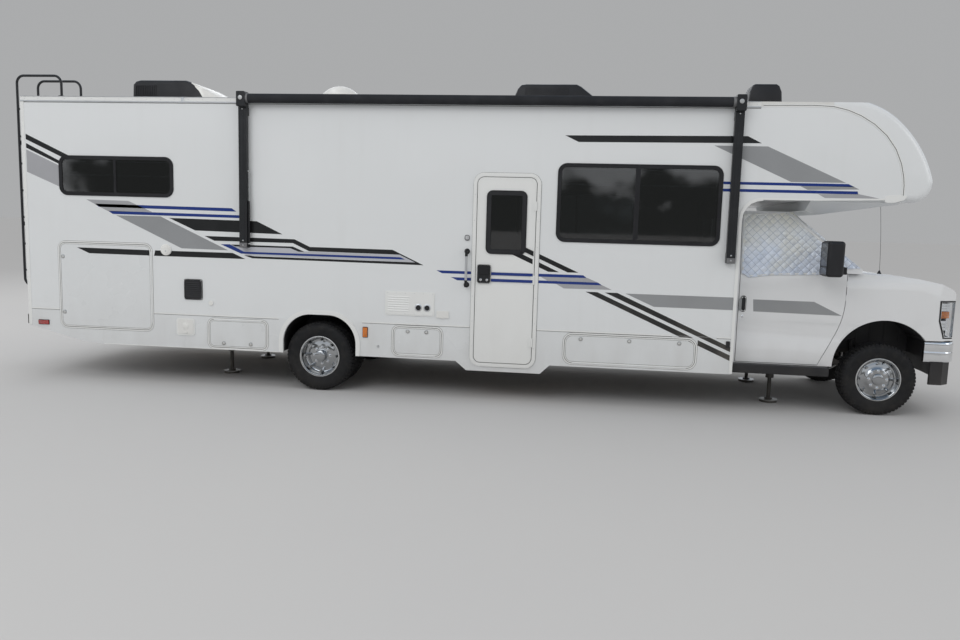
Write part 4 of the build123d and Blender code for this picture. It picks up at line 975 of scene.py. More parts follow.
def make_stripes():
    bodies = {}
    for name, side in SIDES:
        for colour, group, outline in STRIPES:
            for node, x0, x1, z0, z1 in PANELS[name].get(group, (("side_wall_" + name, *WHOLE),)):
                piece = list(outline)
                for place, limit, keep in ((0, x0, 1), (0, x1, -1), (1, z0, 1), (1, z1, -1)):
                    piece = clipped(piece, place, limit, keep)
                if len(piece) < 3:
                    continue
                solid = bodies.setdefault((NODES[node]["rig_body"], name), Solid())
                lay_decal(solid, piece, node, side, colour, DECAL / 2 if group == "under" else DECAL)
    for name, side in SIDES:
        for outline in CAB_STRIPES:
            solid = bodies.setdefault(("cab_door_" + name, name), Solid())
            lay_decal(solid, outline, "cab_door_" + name, side, "vinyl_dark_grey", DECAL, BENT_STEP)
    for (body, name), solid in bodies.items():
        dress(solid.build(f"stripes_{body}_{name}"), body)


make_stripes()


# Repeats by geometry nodes

def make_repeats():
    """A tree that sets copies of its form along a line or round an axis through the line's start."""
    tree = bpy.data.node_groups.new("repeats", "GeometryNodeTree")
    for label, kind in (("Form", "Geometry"), ("Count", "Int"), ("Start", "Vector"), ("Step", "Vector"),
                        ("Turn", "Vector"), ("Material", "Material")):
        tree.interface.new_socket(label, in_out="INPUT", socket_type="NodeSocket" + kind)
    tree.interface.new_socket("Form", in_out="OUTPUT", socket_type="NodeSocketGeometry")
    given = tree.nodes.new("NodeGroupInput").outputs
    line, index, copies, whole, painted = (tree.nodes.new("GeometryNode" + kind) for kind in (
        "MeshLine", "InputIndex", "InstanceOnPoints", "RealizeInstances", "SetMaterial"))
    turned = tree.nodes.new("ShaderNodeVectorMath")
    line.mode = "OFFSET"
    turned.operation = "SCALE"
    for source, target in (
            (given["Count"], line.inputs["Count"]), (given["Start"], line.inputs["Start Location"]),
            (given["Step"], line.inputs["Offset"]), (given["Turn"], turned.inputs[0]),
            (index.outputs[0], turned.inputs["Scale"]),
            (line.outputs[0], copies.inputs["Points"]), (given["Form"], copies.inputs["Instance"]),
            (turned.outputs[0], copies.inputs["Rotation"]),
            (copies.outputs[0], whole.inputs[0]), (whole.outputs[0], painted.inputs["Geometry"]),
            (given["Material"], painted.inputs["Material"]),
            (painted.outputs[0], tree.nodes.new("NodeGroupOutput").inputs[0])):
        tree.links.new(source, target)
    return tree


REPEATS = make_repeats()


def final_mesh(piece):
    """What a piece's modifiers make of it, as a loose form."""
    bpy.context.view_layer.update()
    form = bmesh.new()
    depsgraph = bpy.context.evaluated_depsgraph_get()
    form.from_mesh(bpy.data.meshes.new_from_object(piece.evaluated_get(depsgraph)))
    return form


def repeated(solid, form, material, count, start, step=(0, 0, 0), turn=(0, 0, 0)):
    """Copies of a form, drawn round the origin, go into a piece."""
    item = form.build("item")
    modifier = item.modifiers.new("repeats", "NODES")
    modifier.node_group = REPEATS
    given = {"Count": count, "Start": tuple(start), "Step": tuple(step), "Turn": tuple(turn),
             "Material": FINISH[material]}
    for socket in REPEATS.interface.items_tree:
        if socket.in_out == "INPUT" and socket.name in given:
            modifier[socket.identifier] = given[socket.name]
    solid.take(final_mesh(item), FINISH[material])
    bpy.data.objects.remove(item)


def around(count):
    """The turn from one copy to the next round a wheel's axle."""
    return (0, 2 * math.pi / count, 0)


# Wheels

# Middles of the wheels, millimetres from the vehicle's middle plane
FRONT_WHEEL_Y = 878
OUTER_WHEEL_Y = 1124
INNER_WHEEL_Y = 828
ROUND_STEPS = 96
# Tyre section: radius and distance from its middle plane, millimetres
CARCASS = (
    (204, 82), (210, 92), (221, 96), (238, 101), (262, 107), (290, 109), (312, 108), (322, 106.5), (326, 104),
    (334, 101), (344, 94), (350, 84), (353, 60), (353, 44), (347, 41), (347, 37), (353, 34), (353, 12),
    (347, 9),
)
INSIDE = ((214, 70), (330, 84))
TREAD_TOP = 361.5
# Lug rows: count, middle, half width, length along the tread, slant, how far its outer edge drops
LUG_ROWS = (
    (52, 23, 10.0, 32, 9, 0.0),
    (52, -23, 10.0, 32, -9, 0.0),
    (60, 52, 9.0, 28, 7, 0.5),
    (60, -52, 9.0, 28, -7, 0.5),
    (60, 77, 13.5, 26, 4, 5.5),
    (60, -77, 13.5, 26, -4, 5.5),
)
# Middle rib of the tread, as a section
RIB_HALF = 7
RIB_TOP = TREAD_TOP - 0.8
RIB = ((340, -RIB_HALF), (RIB_TOP, 1 - RIB_HALF), (RIB_TOP, RIB_HALF - 1), (340, RIB_HALF))
# Fine ribs on a tyre's shoulder: count, outline at the top of the wheel in (x, z), and depths from and to
SHOULDER_RIBS = 60
SHOULDER_RIB = ((-7, 328), (7, 328), (9, 343), (-9, 343))
SHOULDER = (98.5, 104.5)


def lug(middle_y, half, length, slant, drop):
    """One tread block, drawn at the top of a wheel about its own middle."""
    form = Solid()
    rings = []
    for height, ease in ((-12, 0), (0, 1.6)):
        ring = []
        for across, along in ((-1, -1), (1, -1), (1, 1), (-1, 1)):
            outer = across * middle_y > 0
            x = along * (length / 2 - ease) + across * slant / 2
            z = TREAD_TOP + height - (drop if outer else 0)
            ring.append(Vector((x, middle_y + across * (half - ease), z)) * MM)
        rings.append(ring)
    form.skin(rings, FINISH["tyre_rubber"], smooth=False)
    return form


def add_tyre(solid, centre):
    rubber = FINISH["tyre_rubber"]
    section = [*CARCASS, *((r, -d) for r, d in reversed(CARCASS)), *((r, -d) for r, d in INSIDE),
               *reversed(INSIDE)]
    for profile in (section, RIB):
        solid.turned(scaled(profile), centre, "Y", rubber, ROUND_STEPS)
    for count, *block in LUG_ROWS:
        repeated(solid, lug(*block), "tyre_rubber", count, centre, turn=around(count))
    for side in (RIGHT, LEFT):
        form = Solid()
        low, high = sorted(side * depth * MM for depth in SHOULDER)
        form.prism(scaled(SHOULDER_RIB), "Y", low, high, rubber)
        repeated(solid, form, "tyre_rubber", SHOULDER_RIBS, centre, turn=around(SHOULDER_RIBS))


# Steel rim and the bright liner on it: radius and distance outboard of the wheel's middle, millimetres
BARREL = ((212, 97), (215.5, 96), (217, 92), (216, 89), (204, 88), (203, -88), (216, -89), (217, -96),
          (212, -97),
          (198, -92), (194, -70), (184, -40), (184, 40), (194, 66), (198, 88))
FRONT_LINER = (
    (206, 96.6), (211, 96), (213, 93.5), (209, 91), (203, 91.5), (197, 88), (193, 78), (187, 63), (178, 54),
    (169, 53),
    (160, 57), (148, 61), (134, 63), (118, 68), (107, 76), (102, 80), (96, 81), (62, 81), (58, 81), (56, 85),
    (54, 90), (46, 94), (30, 96.2), (14, 96.9), (1, 97), (1, 86), (40, 84), (52, 76), (96, 76), (104, 70),
    (120, 60), (140, 55), (160, 50), (176, 47), (188, 56), (194, 74), (198, 86),
)
REAR_LINER = (
    (206, 96.6), (211, 96), (213, 93.5), (209, 91), (203, 91.5), (197, 86), (192, 66), (189, 40), (186, 18),
    (178, 8),
    (166, 4), (150, 6), (136, 10), (122, 12), (108, 14), (100, 15), (64, 15), (60, 17), (58, 28), (57, 74),
    (54, 82), (44, 87), (26, 89.5), (1, 90), (1, 84), (40, 82), (50, 76), (50, 10), (62, 8), (100, 8),
    (120, 5), (150, 0), (168, -2), (182, 4), (190, 30), (196, 66), (200, 86),
)
RIM_LIP = ((203, 91.9), (206, 96.95), (211.2, 96.6), (213.8, 93.6), (209, 90.6))
FRONT_DRUM = ((34, 22), (34, 42), (150, 42), (176, 28), (176, 6), (150, 22))
REAR_DRUM = ((57, -54), (57, -36), (150, -36), (172, -50), (172, -60), (150, -54))
INNER_DISC = ((57, 60), (57, 68), (120, 60), (186, 30), (186, 22), (120, 50))
LUG_CIRCLE = 86
WHEEL_NUTS = 8
HAND_HOLES = 8
# Hand holes: distance of their middles from the axle, and their half width and half height
FRONT_HOLES = (160, 17, 9.5)
REAR_HOLES = (166, 16, 8)
# Nut covers: depth of their foot, and their height
FRONT_NUTS = (78, 18)
REAR_NUTS = (13, 22)
# Valve stem, from the axle
STEM_AT = (55, 166)


def bright_liner(profile, holes, centre, side):
    """The liner with its ring of oval holes cut through."""
    form = Solid()
    form.turned(scaled(profile, side), centre, "Y", FINISH["chrome"], 128)
    liner = form.build("liner", 50)
    cut, one = Solid(), Solid()
    hole_at, half, rise = holes
    oval = [(half * math.cos(a), hole_at + rise * math.sin(a)) for a in angles(24)]
    one.prism(scaled(oval), "Y", -90 * MM, 90 * MM, FINISH["chrome"])
    repeated(cut, one, "chrome", HAND_HOLES, centre, turn=around(HAND_HOLES))
    cutter = cut.build("cutter")
    modifier = liner.modifiers.new("holes", "BOOLEAN")
    modifier.operation = "DIFFERENCE"
    modifier.solver = "EXACT"
    modifier.object = cutter
    made = final_mesh(liner)
    for rest in (liner, cutter):
        bpy.data.objects.remove(rest)
    return made


def lug_cover(side, base, height):
    """Bright cover over one wheel nut, drawn at the top of the bolt circle."""
    form = Solid()
    rings = []
    for radius, depth, six_sided in ((15.5, 0, False), (15.5, 3, False), (12.6, 4, True),
                                     (12.2, height - 4, True),
                                     (9.5, height - 1, True), (4.0, height, True)):
        ring = []
        for angle in angles(24):
            reach = radius * (0.93 + 0.07 * abs(math.cos(3 * angle))) if six_sided else radius
            x, z = reach * math.cos(angle), LUG_CIRCLE + reach * math.sin(angle)
            ring.append(Vector((x, side * (base + depth), z)) * MM)
        rings.append(ring)
    form.skin(rings, FINISH["chrome"])
    return form


def add_rim(solid, centre, side, profile, finish):
    solid.turned(scaled(profile, side), centre, "Y", FINISH[finish], ROUND_STEPS)


def add_stem(solid, centre, side, depth):
    """Valve stem through the liner."""
    x, z = STEM_AT
    foot, neck, cap = (centre + Vector((x, side * (depth + out), z)) * MM for out in (-20, 22, 34))
    solid.tube([foot, neck], 0.0042, FINISH["black_rubber"], 12)
    solid.tube([neck, cap], 0.0052, FINISH["aluminium"], 12)


def add_bright_wheel(solid, centre, side, liner, holes, nuts, stem):
    """Barrel, lip, liner with its hand holes, nut covers and valve stem of a wheel that shows."""
    add_rim(solid, centre, side, BARREL, "zinc_steel")
    add_rim(solid, centre, side, RIM_LIP, "chrome")
    # The liner's dish gets the darker copy of the chrome: painted shade
    solid.take(bright_liner(liner, holes, centre, side), FINISH["chrome_dish_painted_shade"])
    repeated(solid, lug_cover(side, *nuts), "chrome", WHEEL_NUTS, centre, turn=around(WHEEL_NUTS))
    add_stem(solid, centre, side, stem)


def make_wheels():
    for name, side in SIDES:
        front_body, rear_body = "front_wheel_" + name, "rear_wheels_" + name
        front = hub(WHEELBASE, side * FRONT_WHEEL_Y)
        inner, outer = hub(0, side * INNER_WHEEL_Y), hub(0, side * OUTER_WHEEL_Y)
        wheel = Solid()
        add_bright_wheel(wheel, front, side, FRONT_LINER, FRONT_HOLES, FRONT_NUTS, 60)
        add_rim(wheel, front, side, FRONT_DRUM, "cast_iron")
        dress(wheel.build("front_rim_dressed_" + name), front_body, ("front_rim_" + name,))
        tyre = Solid()
        add_tyre(tyre, front)
        dress(tyre.build("front_tyre_dressed_" + name, 28), front_body,
              ("front_tyre_" + name,))
        twins = Solid()
        add_bright_wheel(twins, outer, side, REAR_LINER, REAR_HOLES, REAR_NUTS, 24)
        add_rim(twins, inner, -side, BARREL, "zinc_steel")
        add_rim(twins, inner, side, INNER_DISC, "zinc_steel")
        add_rim(twins, outer, side, REAR_DRUM, "cast_iron")
        dress(twins.build("rear_rims_dressed_" + name), rear_body, ("rear_rims_" + name,))
        tyres = Solid()
        for centre in (inner, outer):
            add_tyre(tyres, centre)
        dress(tyres.build("rear_tyres_dressed_" + name, 28), rear_body,
              ("rear_tyres_" + name,))


make_wheels()


# Quilted window cover

# Height of the padding, how far its stitch lines sink, and how far off the glass the cloth's back lies
PUFF = 0.0085
SUNK = 0.004
BACK_GAP = 0.0005
PIPING_R = 0.0065
# Where each row of diamonds is cut across, as shares of a diamond
CUTS = (-0.035, 0.035, 0.14, 0.28, 0.42, 0.58, 0.72, 0.86)
# The cover's cuts lie out from this plane on either side
SIDE_PLANE = 1.0


class Drape:
    """A flat cut of quilted cloth laid on one side of a node: its two axes and the way out from it."""

    def __init__(self, node, origin, along, across, outward):
        self.skin = surface(node)
        self.origin, self.along, self.across, self.outward = origin, along, across, outward

    def flat(self, a, b):
        return self.origin + self.along * a + self.across * b

    def land(self, a, b, face=1):
        """Where the node's outer (1) or inner (-1) face lies under a place of the cut."""
        start = self.flat(a, b) + self.outward * face * 0.5
        hit = self.skin.ray_cast(start, -self.outward * face)[0]
        return hit if hit is not None else self.skin.find_nearest(self.flat(a, b))[0]


def side_drape(node, side):
    """A cut that lies against one side of the cab."""
    return Drape(node, Vector((0, side * SIDE_PLANE, 0)), Vector((1, 0, 0)), Vector((0, 0, 1)),
                 Vector((0, side, 0)))


def puff_height(a, b):
    """Height of the padding between the stitch lines, with slack that folds it here and there."""
    u, v = (a + b) / math.sqrt(2), (a - b) / math.sqrt(2)
    rise = abs(math.sin(math.pi * u / DIAMOND) * math.sin(math.pi * v / DIAMOND)) ** 0.42
    fold = math.sin(23 * a + 9 * b + 1.3) * math.sin(17 * b - 11 * a) + 0.6 * math.sin(61 * a - 37 * b)
    return PUFF * rise * (0.82 + 0.18 * fold)


def quilt(name, drape, outline, cloth, loft=0.0):
    """Two faces of quilted cloth with padding between, cut to the outline or laid over a form by the loft."""
    film = bmesh.new()
    film.faces.new([film.verts.new((a, b, 0)) for a, b in outline])
    for direction in (Vector((1, 1, 0)), Vector((1, -1, 0))):
        direction.normalize()
        reach = [v.co.dot(direction) for v in film.verts]
        for k in range(math.floor(min(reach) / DIAMOND), math.ceil(max(reach) / DIAMOND) + 1):
            for share in CUTS:
                everything = film.verts[:] + film.edges[:] + film.faces[:]
                at = direction * (k + share) * DIAMOND
                bmesh.ops.bisect_plane(film, geom=everything, plane_co=at, plane_no=direction)
    lifted = bmesh.ops.extrude_face_region(film, geom=film.faces[:])
    front = {v for v in lifted["geom"] if isinstance(v, bmesh.types.BMVert)}
    for v in film.verts:
        a, b = v.co.x, v.co.y
        if v in front:
            v.co = drape.land(a, b) + drape.outward * (puff_height(a, b) - SUNK + loft)
        elif loft:
            v.co = drape.land(a, b) + drape.outward * BACK_GAP
        else:
            v.co = drape.land(a, b, -1)
    bmesh.ops.recalc_face_normals(film, faces=film.faces[:])
    for face in film.faces:
        face.smooth = True
    made = Solid()
    made.take(film, FINISH[cloth])
    return made.build(name, 70)


def binding(name, drape, outline):
    """Piped edge sewn round the cut."""
    loose = []
    for first, second in zip(outline, outline[1:] + outline[:1]):
        length = math.dist(first, second)
        count = max(int(length / 0.03), 1)
        for k in range(count):
            share = k / count
            loose.append(tuple(p + (q - p) * share for p, q in zip(first, second)))
    points = [(drape.land(a, b, 1) + drape.land(a, b, -1)) / 2 for a, b in loose]
    for _ in range(2):
        points = [(points[k - 1] + 2 * points[k] + points[(k + 1) % len(points)]) / 4
                  for k in range(len(points))]
    solid = Solid()
    count = len(points)
    rings = []
    for k in range(count):
        ahead = (points[(k + 1) % count] - points[k - 1]).normalized()
        side = ahead.cross(drape.outward).normalized()
        wave = 1 + 0.08 * math.sin(k * 1.9)
        rings.append([points[k] + PIPING_R * wave * (math.cos(a) * side * 1.5 + math.sin(a) * drape.outward)
                      for a in angles(10)])
    solid.loop(rings, FINISH["binding_cloth"], True)
    return solid.build(name, 60)


FLAP = ((4276, 1372), (4276, 1964), (4690, 1984), (4795, 1925), (4905, 1830), (5206, 1574), (5214, 1502),
        (5040, 1497), (5040, 1391), (4572, 1369), (4400, 1346), (4350, 1336), (4300, 1350))
# The screen's cloth turned back over each pillar, ahead of the flap
PILLAR = ((4706, 1990), (4750, 1992), (5080, 1722), (5400, 1462), (5240, 1450), (5222, 1500), (5218, 1578),
          (4915, 1836), (4805, 1932))
PILLAR_LOFT = 0.007
# Metres that the screen's cut stays inside the node's: at the sides, the top and the foot, and its corners
SCREEN_SIDE = 0.004
SCREEN_TOP = 0.028
SCREEN_FOOT = 0.03
SCREEN_CORNER = (0.03, 0.004)
# How far in from the cut the piping is sewn
PIPING_IN = 0.008
PILLAR_PIPING_IN = 0.004


def make_covers():
    for name, side in SIDES:
        flap_node, door = "cover_flap_" + name, "cab_door_" + name
        drape = side_drape(flap_node, side)
        outline = plate(FLAP)
        cloth = quilt("quilted_flap_" + name, drape, outline, "flap_cloth")
        edge = binding("flap_binding_" + name, drape, shrunk(outline, PIPING_IN))
        dress(cloth, door, (flap_node,))
        dress(edge, door)
    low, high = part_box("screen_cover")
    top, foot = Vector((low.x, 0, high.z)), Vector((high.x, 0, low.z))
    slope = (foot - top).normalized()
    outward = Vector((-slope.z, 0, slope.x))
    drape = Drape("screen_cover", top, Vector((0, 1, 0)), slope, outward)
    pillars = []
    for name, side in SIDES:
        wrap = side_drape("cab_shell", side)
        pillars.append(quilt("quilted_pillar_" + name, wrap, plate(PILLAR), "flap_cloth", PILLAR_LOFT))
        pillars.append(binding("pillar_binding_" + name, wrap, shrunk(plate(PILLAR), PILLAR_PIPING_IN)))
        for piece in pillars[-2:]:
            dress(piece, "coach")
    half, length = high.y - SCREEN_SIDE, (foot - top).length - SCREEN_FOOT
    inset, drop = SCREEN_CORNER
    outline = [(-half, SCREEN_TOP), (half, SCREEN_TOP), (half, length), (half - inset, length + drop),
               (-half + inset, length + drop), (-half, length)]
    cloth = quilt("quilted_screen", drape, outline, "screen_cloth")
    edge = binding("screen_binding", drape, shrunk(outline, PIPING_IN))
    dress(cloth, "coach", ("screen_cover",))
    dress(edge, "coach")


make_covers()


# Coach sides

def slab(solid, points, side, low, high, finish, rim=0.0):
    """A side outline in millimetres, between two distances from the vehicle's middle plane."""
    near, far = sorted((side * low * MM, side * high * MM))
    solid.prism(plate(points), "Y", near, far, FINISH[finish], rim * MM)


def band(solid, box_mm, radius, outside, inside, side, low, high, finish):
    """A frame round a rounded opening, from one inset of it to another."""
    x0, x1, z0, z1 = box_mm
    outer = rounded(x0 + outside, x1 - outside, z0 + outside, z1 - outside, max(radius - outside, 4))
    inner = rounded(x0 + inside, x1 - inside, z0 + inside, z1 - inside, max(radius - inside, 2))
    near, far = sorted((side * low * MM, side * high * MM))
    solid.ring(plate(outer), plate(inner), "Y", near, far, FINISH[finish])


def ribbon(points, width):
    """An outline that follows points with an even width."""
    left, right = [], []
    for k, point in enumerate(points):
        ahead = Vector(points[min(k + 1, len(points) - 1)]) - Vector(points[max(k - 1, 0)])
        normal = Vector((-ahead.y, ahead.x)).normalized() * width / 2
        left.append(tuple(Vector(point) + normal))
        right.append(tuple(Vector(point) - normal))
    return left + right[::-1]


def strip(solid, points, width, side, low, high, finish):
    """A flat moulding along points of a side view: one short form between each two of them."""
    edge = ribbon(points, width)
    rings = []
    for (lx, lz), (rx, rz) in zip(edge[:len(points)], reversed(edge)):
        rings.append([spot(lx, side * low, lz), spot(lx, side * high, lz), spot(rx, side * high, rz),
                      spot(rx, side * low, rz)])
    solid.skin(rings, FINISH[finish], smooth=False)


def dial(solid, x, z, side, low, profile, finish, steps=28):
    """A turned form on a side wall: profile of (radius, height) in millimetres from a distance out."""
    solid.knob(scaled([(r, low + h) for r, h in profile], side), spot(x, 0, z), "Y", FINISH[finish], steps)


# Height of a screw's head
SCREW_RISE = 2.0


def screw_row(solid, first, last, count, side, depth, radius, finish="aluminium"):
    """Evenly spaced screw heads from one place of a side view to another."""
    start, end = (spot(x, side * depth, z) for x, z in (first, last))
    head = Solid()
    profile = ((radius, 0), (radius, 0.4 * SCREW_RISE), (0.7 * radius, SCREW_RISE), (0.6, SCREW_RISE))
    head.knob(scaled(profile, side), (0, 0, 0), "Y", FINISH["aluminium"], 10)
    repeated(solid, head, finish, count, start, (end - start) / (count - 1))


# Windows of each side: opening, corner radius, where the panes meet
WINDOWS = {
    RIGHT: ((-2856, -1568, 1976, 2393, 92, -2221), (2425, 3998, 1637, 2404, 90, 3211.5)),
    LEFT: ((-2856, -1568, 1976, 2393, 92, -2221), (-330, 330, 1976, 2393, 92, 0),
           (1820, 3393, 1637, 2404, 90, 2606.5)),
}
# How far the panes lie inside an opening, and the centre bar's end
PANE_IN = 39
BAR_IN = 44
CLIP_IN = 180
# Pleated shade: height and number of its pleats, and a pleat's section
PLEAT = 11
PLEATS = 12
PLEAT_SECTION = ((-14, 0), (-2, PLEAT / 2), (-14, PLEAT), (-17, PLEAT), (-5, PLEAT / 2), (-17, 0))
ENTRY = (1596, 2268, 353, 2297)
ENTRY_CORNER = 108
# Hatch name, opening, corner radius, side, latches
HATCHES = (
    ("hatch_rear_right", (-2890, -1835, 562, 1478), 75, RIGHT, ((-2846, 1322), (-2846, 723))),
    ("hatch_axle_right", (-1204, -555, 412, 714), 62, RIGHT, ((-1036, 462), (-736, 462))),
    ("hatch_step_right", (796, 1305, 428, 724), 62, RIGHT, ((951, 676), (1146, 676))),
    ("hatch_front_right", (2550, 3838, 430, 726), 85, RIGHT, ((2713, 678), (3192, 678), (3676, 678))),
    ("hatch_front_left", (2550, 3838, 430, 726), 85, LEFT, ((2713, 678), (3192, 678), (3676, 678))),
)


def add_shade(shades, x0, x1, top, side):
    """Pleated shade behind a window: its pleats, the rail at its head and the one at its foot."""
    pleat = Solid()
    half = (x1 - x0) / 2 - 55
    rings = [[Vector((x, side * y, z)) * MM for y, z in PLEAT_SECTION] for x in (-half, half)]
    pleat.skin(rings, FINISH["shade_cloth"], smooth=False)
    foot = top - 60 - PLEATS * PLEAT
    repeated(shades, pleat, "shade_cloth", PLEATS, spot((x0 + x1) / 2, side * (SEAT - 30), foot),
             (0, 0, PLEAT * MM))
    slab(shades, rect(x0 + 50, x1 - 50, top - 62, top - 40), side, SEAT - 58, SEAT - 30, "white_plastic", 2)
    slab(shades, rect(x0 + 54, x1 - 54, foot - 16, foot), side, SEAT - 52, SEAT - 34, "white_plastic", 3)


def make_windows():
    frames, shades = Solid(), Solid()
    for side, rows in WINDOWS.items():
        for x0, x1, z0, z1, radius, meet in rows:
            opening = (x0, x1, z0, z1)
            band(frames, opening, radius, 3, 12, side, SEAT + 8, SEAT + 9.4, "satin_black")
            band(frames, opening, radius, 30, PANE_IN, side, SEAT + 2, SEAT + 7, "black_rubber")
            for left, right in ((x0 + PANE_IN, meet - 4), (meet + 4, x1 - PANE_IN)):
                pane = (left, right, z0 + PANE_IN, z1 - PANE_IN)
                band(frames, pane, 34, 0, 9, side, SEAT - 6, SEAT - 22, "satin_black")
            bar = rect(meet - 9, meet + 9, z0 + BAR_IN, z1 - BAR_IN)
            slab(frames, bar, side, SEAT + 4, SEAT + 7.5, "satin_black", 1.2)
            for x in (x0 + CLIP_IN, x1 - CLIP_IN):
                clip = rounded(x - 22, x + 22, z0 + 8, z0 + 17, 4)
                slab(frames, clip, side, SEAT + 8, SEAT + 10.5, "satin_black", 1.0)
            add_shade(shades, x0, x1, z1, side)
    dress(frames.build("window_trims"), "coach")
    dress(shades.build("window_shades"), "coach")


# A hatch's latch: its dished ring and its key, turned
LATCH_RING = ((1, 0), (21, 0), (21, 2), (19, 4.5), (12, 6), (11, 4.5), (1, 4.5))
LATCH_KEY = ((1, 0), (9.5, 0), (9, 2.4), (1, 3))


def make_hatches():
    surrounds = Solid()
    for node, opening, radius, side, latches in HATCHES:
        band(surrounds, opening, radius, -13, 0.8, side, SEAT - 3, SEAT + 2.2, "white_trim")
        # Rubber in the gap round each hatch, raised nearly to the wall's face: a real seal that also serves
        # as painted shade in the gap
        band(surrounds, opening, radius, 0.8, 5.0, side, SEAT - 12, SEAT + 0.4, "black_rubber")
        # Dark outline round the surround: a painted shadow line
        band(surrounds, opening, radius, -16, -13.2, side, SEAT - 3, SEAT + 0.8, "painted_seam_shadow")
        leaf = Solid()
        band(leaf, opening, radius, 6.3, 17, side, SEAT + 1, SEAT + 3.4, "white_trim")
        band(leaf, opening, radius, 17, 19.5, side, SEAT + 1.2, SEAT + 2.4, "black_rubber")
        for x, z in latches:
            dial(leaf, x, z, side, SEAT + 2, LATCH_RING, "zinc_steel")
            dial(leaf, x, z, side, SEAT + 6, LATCH_KEY, "white_plastic")
            slab(leaf, rect(x - 1, x + 1, z - 5, z + 5), side, SEAT + 8.4, SEAT + 9.4, "satin_black")
        dress(leaf.build(node + "_trims"), node + "_door")
    dress(surrounds.build("hatch_surrounds"), "coach")


DOOR_FACE = 1277
DOOR_WINDOW = (1735, 2134, 1499, 2124)
DOOR_WINDOW_CORNER = 58
DOOR_WINDOW_KNOB = ((1, 0), (9, 0), (9, 6), (6, 10), (1, 10.5))
HANDLE = (1657, 1792, 1203, 1389)
KEYHOLE = ((1, 0), (13, 0), (13, 2), (11, 4), (1, 4))


def make_entry_door():
    leaf, frame = Solid(), Solid()
    # The last band round the frame is a dark outline: a painted shadow line
    for outside, inside, low, high, finish in (
            (39.2, 43.0, DOOR_FACE - 16, DOOR_FACE - 7, "black_rubber"),
            (10, 31, DOOR_FACE, DOOR_FACE + 1.4, "white_trim"), (-3, 0.5, SEAT - 2, SEAT + 2, "painted_seam_shadow")):
        band(frame, ENTRY, ENTRY_CORNER, outside, inside, RIGHT, low, high, finish)
    for x in (ENTRY[0] + 19, ENTRY[1] - 19):
        screw_row(frame, (x, 560), (x, 2080), 7, RIGHT, DOOR_FACE + 1.2, 3.6)
    band(leaf, ENTRY, ENTRY_CORNER, 46, 60, RIGHT, DOOR_FACE, DOOR_FACE + 1.6, "white_trim")
    for outside, inside, low, high, finish in (
            (-2, 44, -2, 10.5, "black_plastic"), (3, 8, 10, 12.4, "satin_black"),
            (38, 47, -3, 7, "black_rubber")):
        band(leaf, DOOR_WINDOW, DOOR_WINDOW_CORNER, outside, inside, RIGHT, DOOR_FACE + low, DOOR_FACE + high,
             finish)
    dial(leaf, 2092, 1526, RIGHT, DOOR_FACE + 10, DOOR_WINDOW_KNOB, "satin_black")
    x0, x1, z0, z1 = HANDLE
    slab(leaf, rounded(x0 - 2, x1 + 2, z0 - 2, z1 + 2, 24), RIGHT, DOOR_FACE, DOOR_FACE + 19.5,
         "black_plastic", 5)
    band(leaf, (x0 + 10, x1 - 10, z0 + 66, z1 - 10), 16, 0, 6, RIGHT, DOOR_FACE + 19, DOOR_FACE + 23,
         "black_plastic")
    slab(leaf, rounded(x0 + 22, x1 - 22, z0 + 84, z1 - 30, 10), RIGHT, DOOR_FACE + 19, DOOR_FACE + 27,
         "satin_black", 3)
    for x in (x0 + 36, x1 - 36):
        dial(leaf, x, z0 + 34, RIGHT, DOOR_FACE + 19, KEYHOLE, "chrome")
        slot = rect(x - 1, x + 1, z0 + 28, z0 + 40)
        slab(leaf, slot, RIGHT, DOOR_FACE + 22.8, DOOR_FACE + 23.6, "satin_black")
    dress(leaf.build("entry_leaf_trims"), "entry_door")
    dress(frame.build("entry_frame_trims"), "coach")


def louvre(solid, x0, x1, z0, count, pitch, side, low, high, finish):
    """Row of sloping slats, one above another."""
    slat = Solid()
    outline = ((low, 0), (high, pitch * 0.15), (high, pitch * 0.35), (low, pitch * 0.75))
    rings = [[Vector((x, side * y, z)) * MM for y, z in outline] for x in ((x0 - x1) / 2, (x1 - x0) / 2)]
    slat.skin(rings, FINISH[finish], smooth=False)
    repeated(solid, slat, finish, count, spot((x0 + x1) / 2, 0, z0), (0, 0, pitch * MM))


# Fittings of the entry side, as (x0, x1, z0, z1)
CABLE_LID = (-1546, -1373, 543, 696)
CABLE_LATCH = (-1482, -1437, 549, 569)
VENT = (-1467, -1268, 914, 1128)
HEATER_DOOR = (721, 1217, 848, 1078)
OUTLET_BOX = (1251, 1372, 831, 898)
OUTLET_FLAP = (1296, 1327, 826, 834)
PORCH_LAMP = (1519, 1571, 1622, 1680)
PORCH_LENS = (1526, 1564, 1630, 1672)
# Lids, plates and lamp: outline, corner radius, back and front from the wall, finish, rim
LIDS = (
    (CABLE_LID, 22, 8, 11, "white_plastic", 2),
    (CABLE_LATCH, 5, 10, 16, "white_plastic", 2),
    (VENT, 30, 0, 15.5, "black_plastic", 4),
    (HEATER_DOOR, 12, 6, 9, "white_trim", 1.5),
    (OUTLET_BOX, 6, 9, 14, "white_plastic", 2),
    (OUTLET_FLAP, 3, 10, 17, "white_plastic", 1),
    (PORCH_LAMP, 20, 8, 13, "grey_plastic", 2),
    (PORCH_LENS, 16, 11, 19, "clear_lens", 4),
)
FLUE = ((1, 0), (37, 0), (37, 3), (32, 6), (28, 6), (27, 1), (1, 1))
FLUE_MOUTH = ((1, 0), (26, 0), (26, 1), (1, 1))
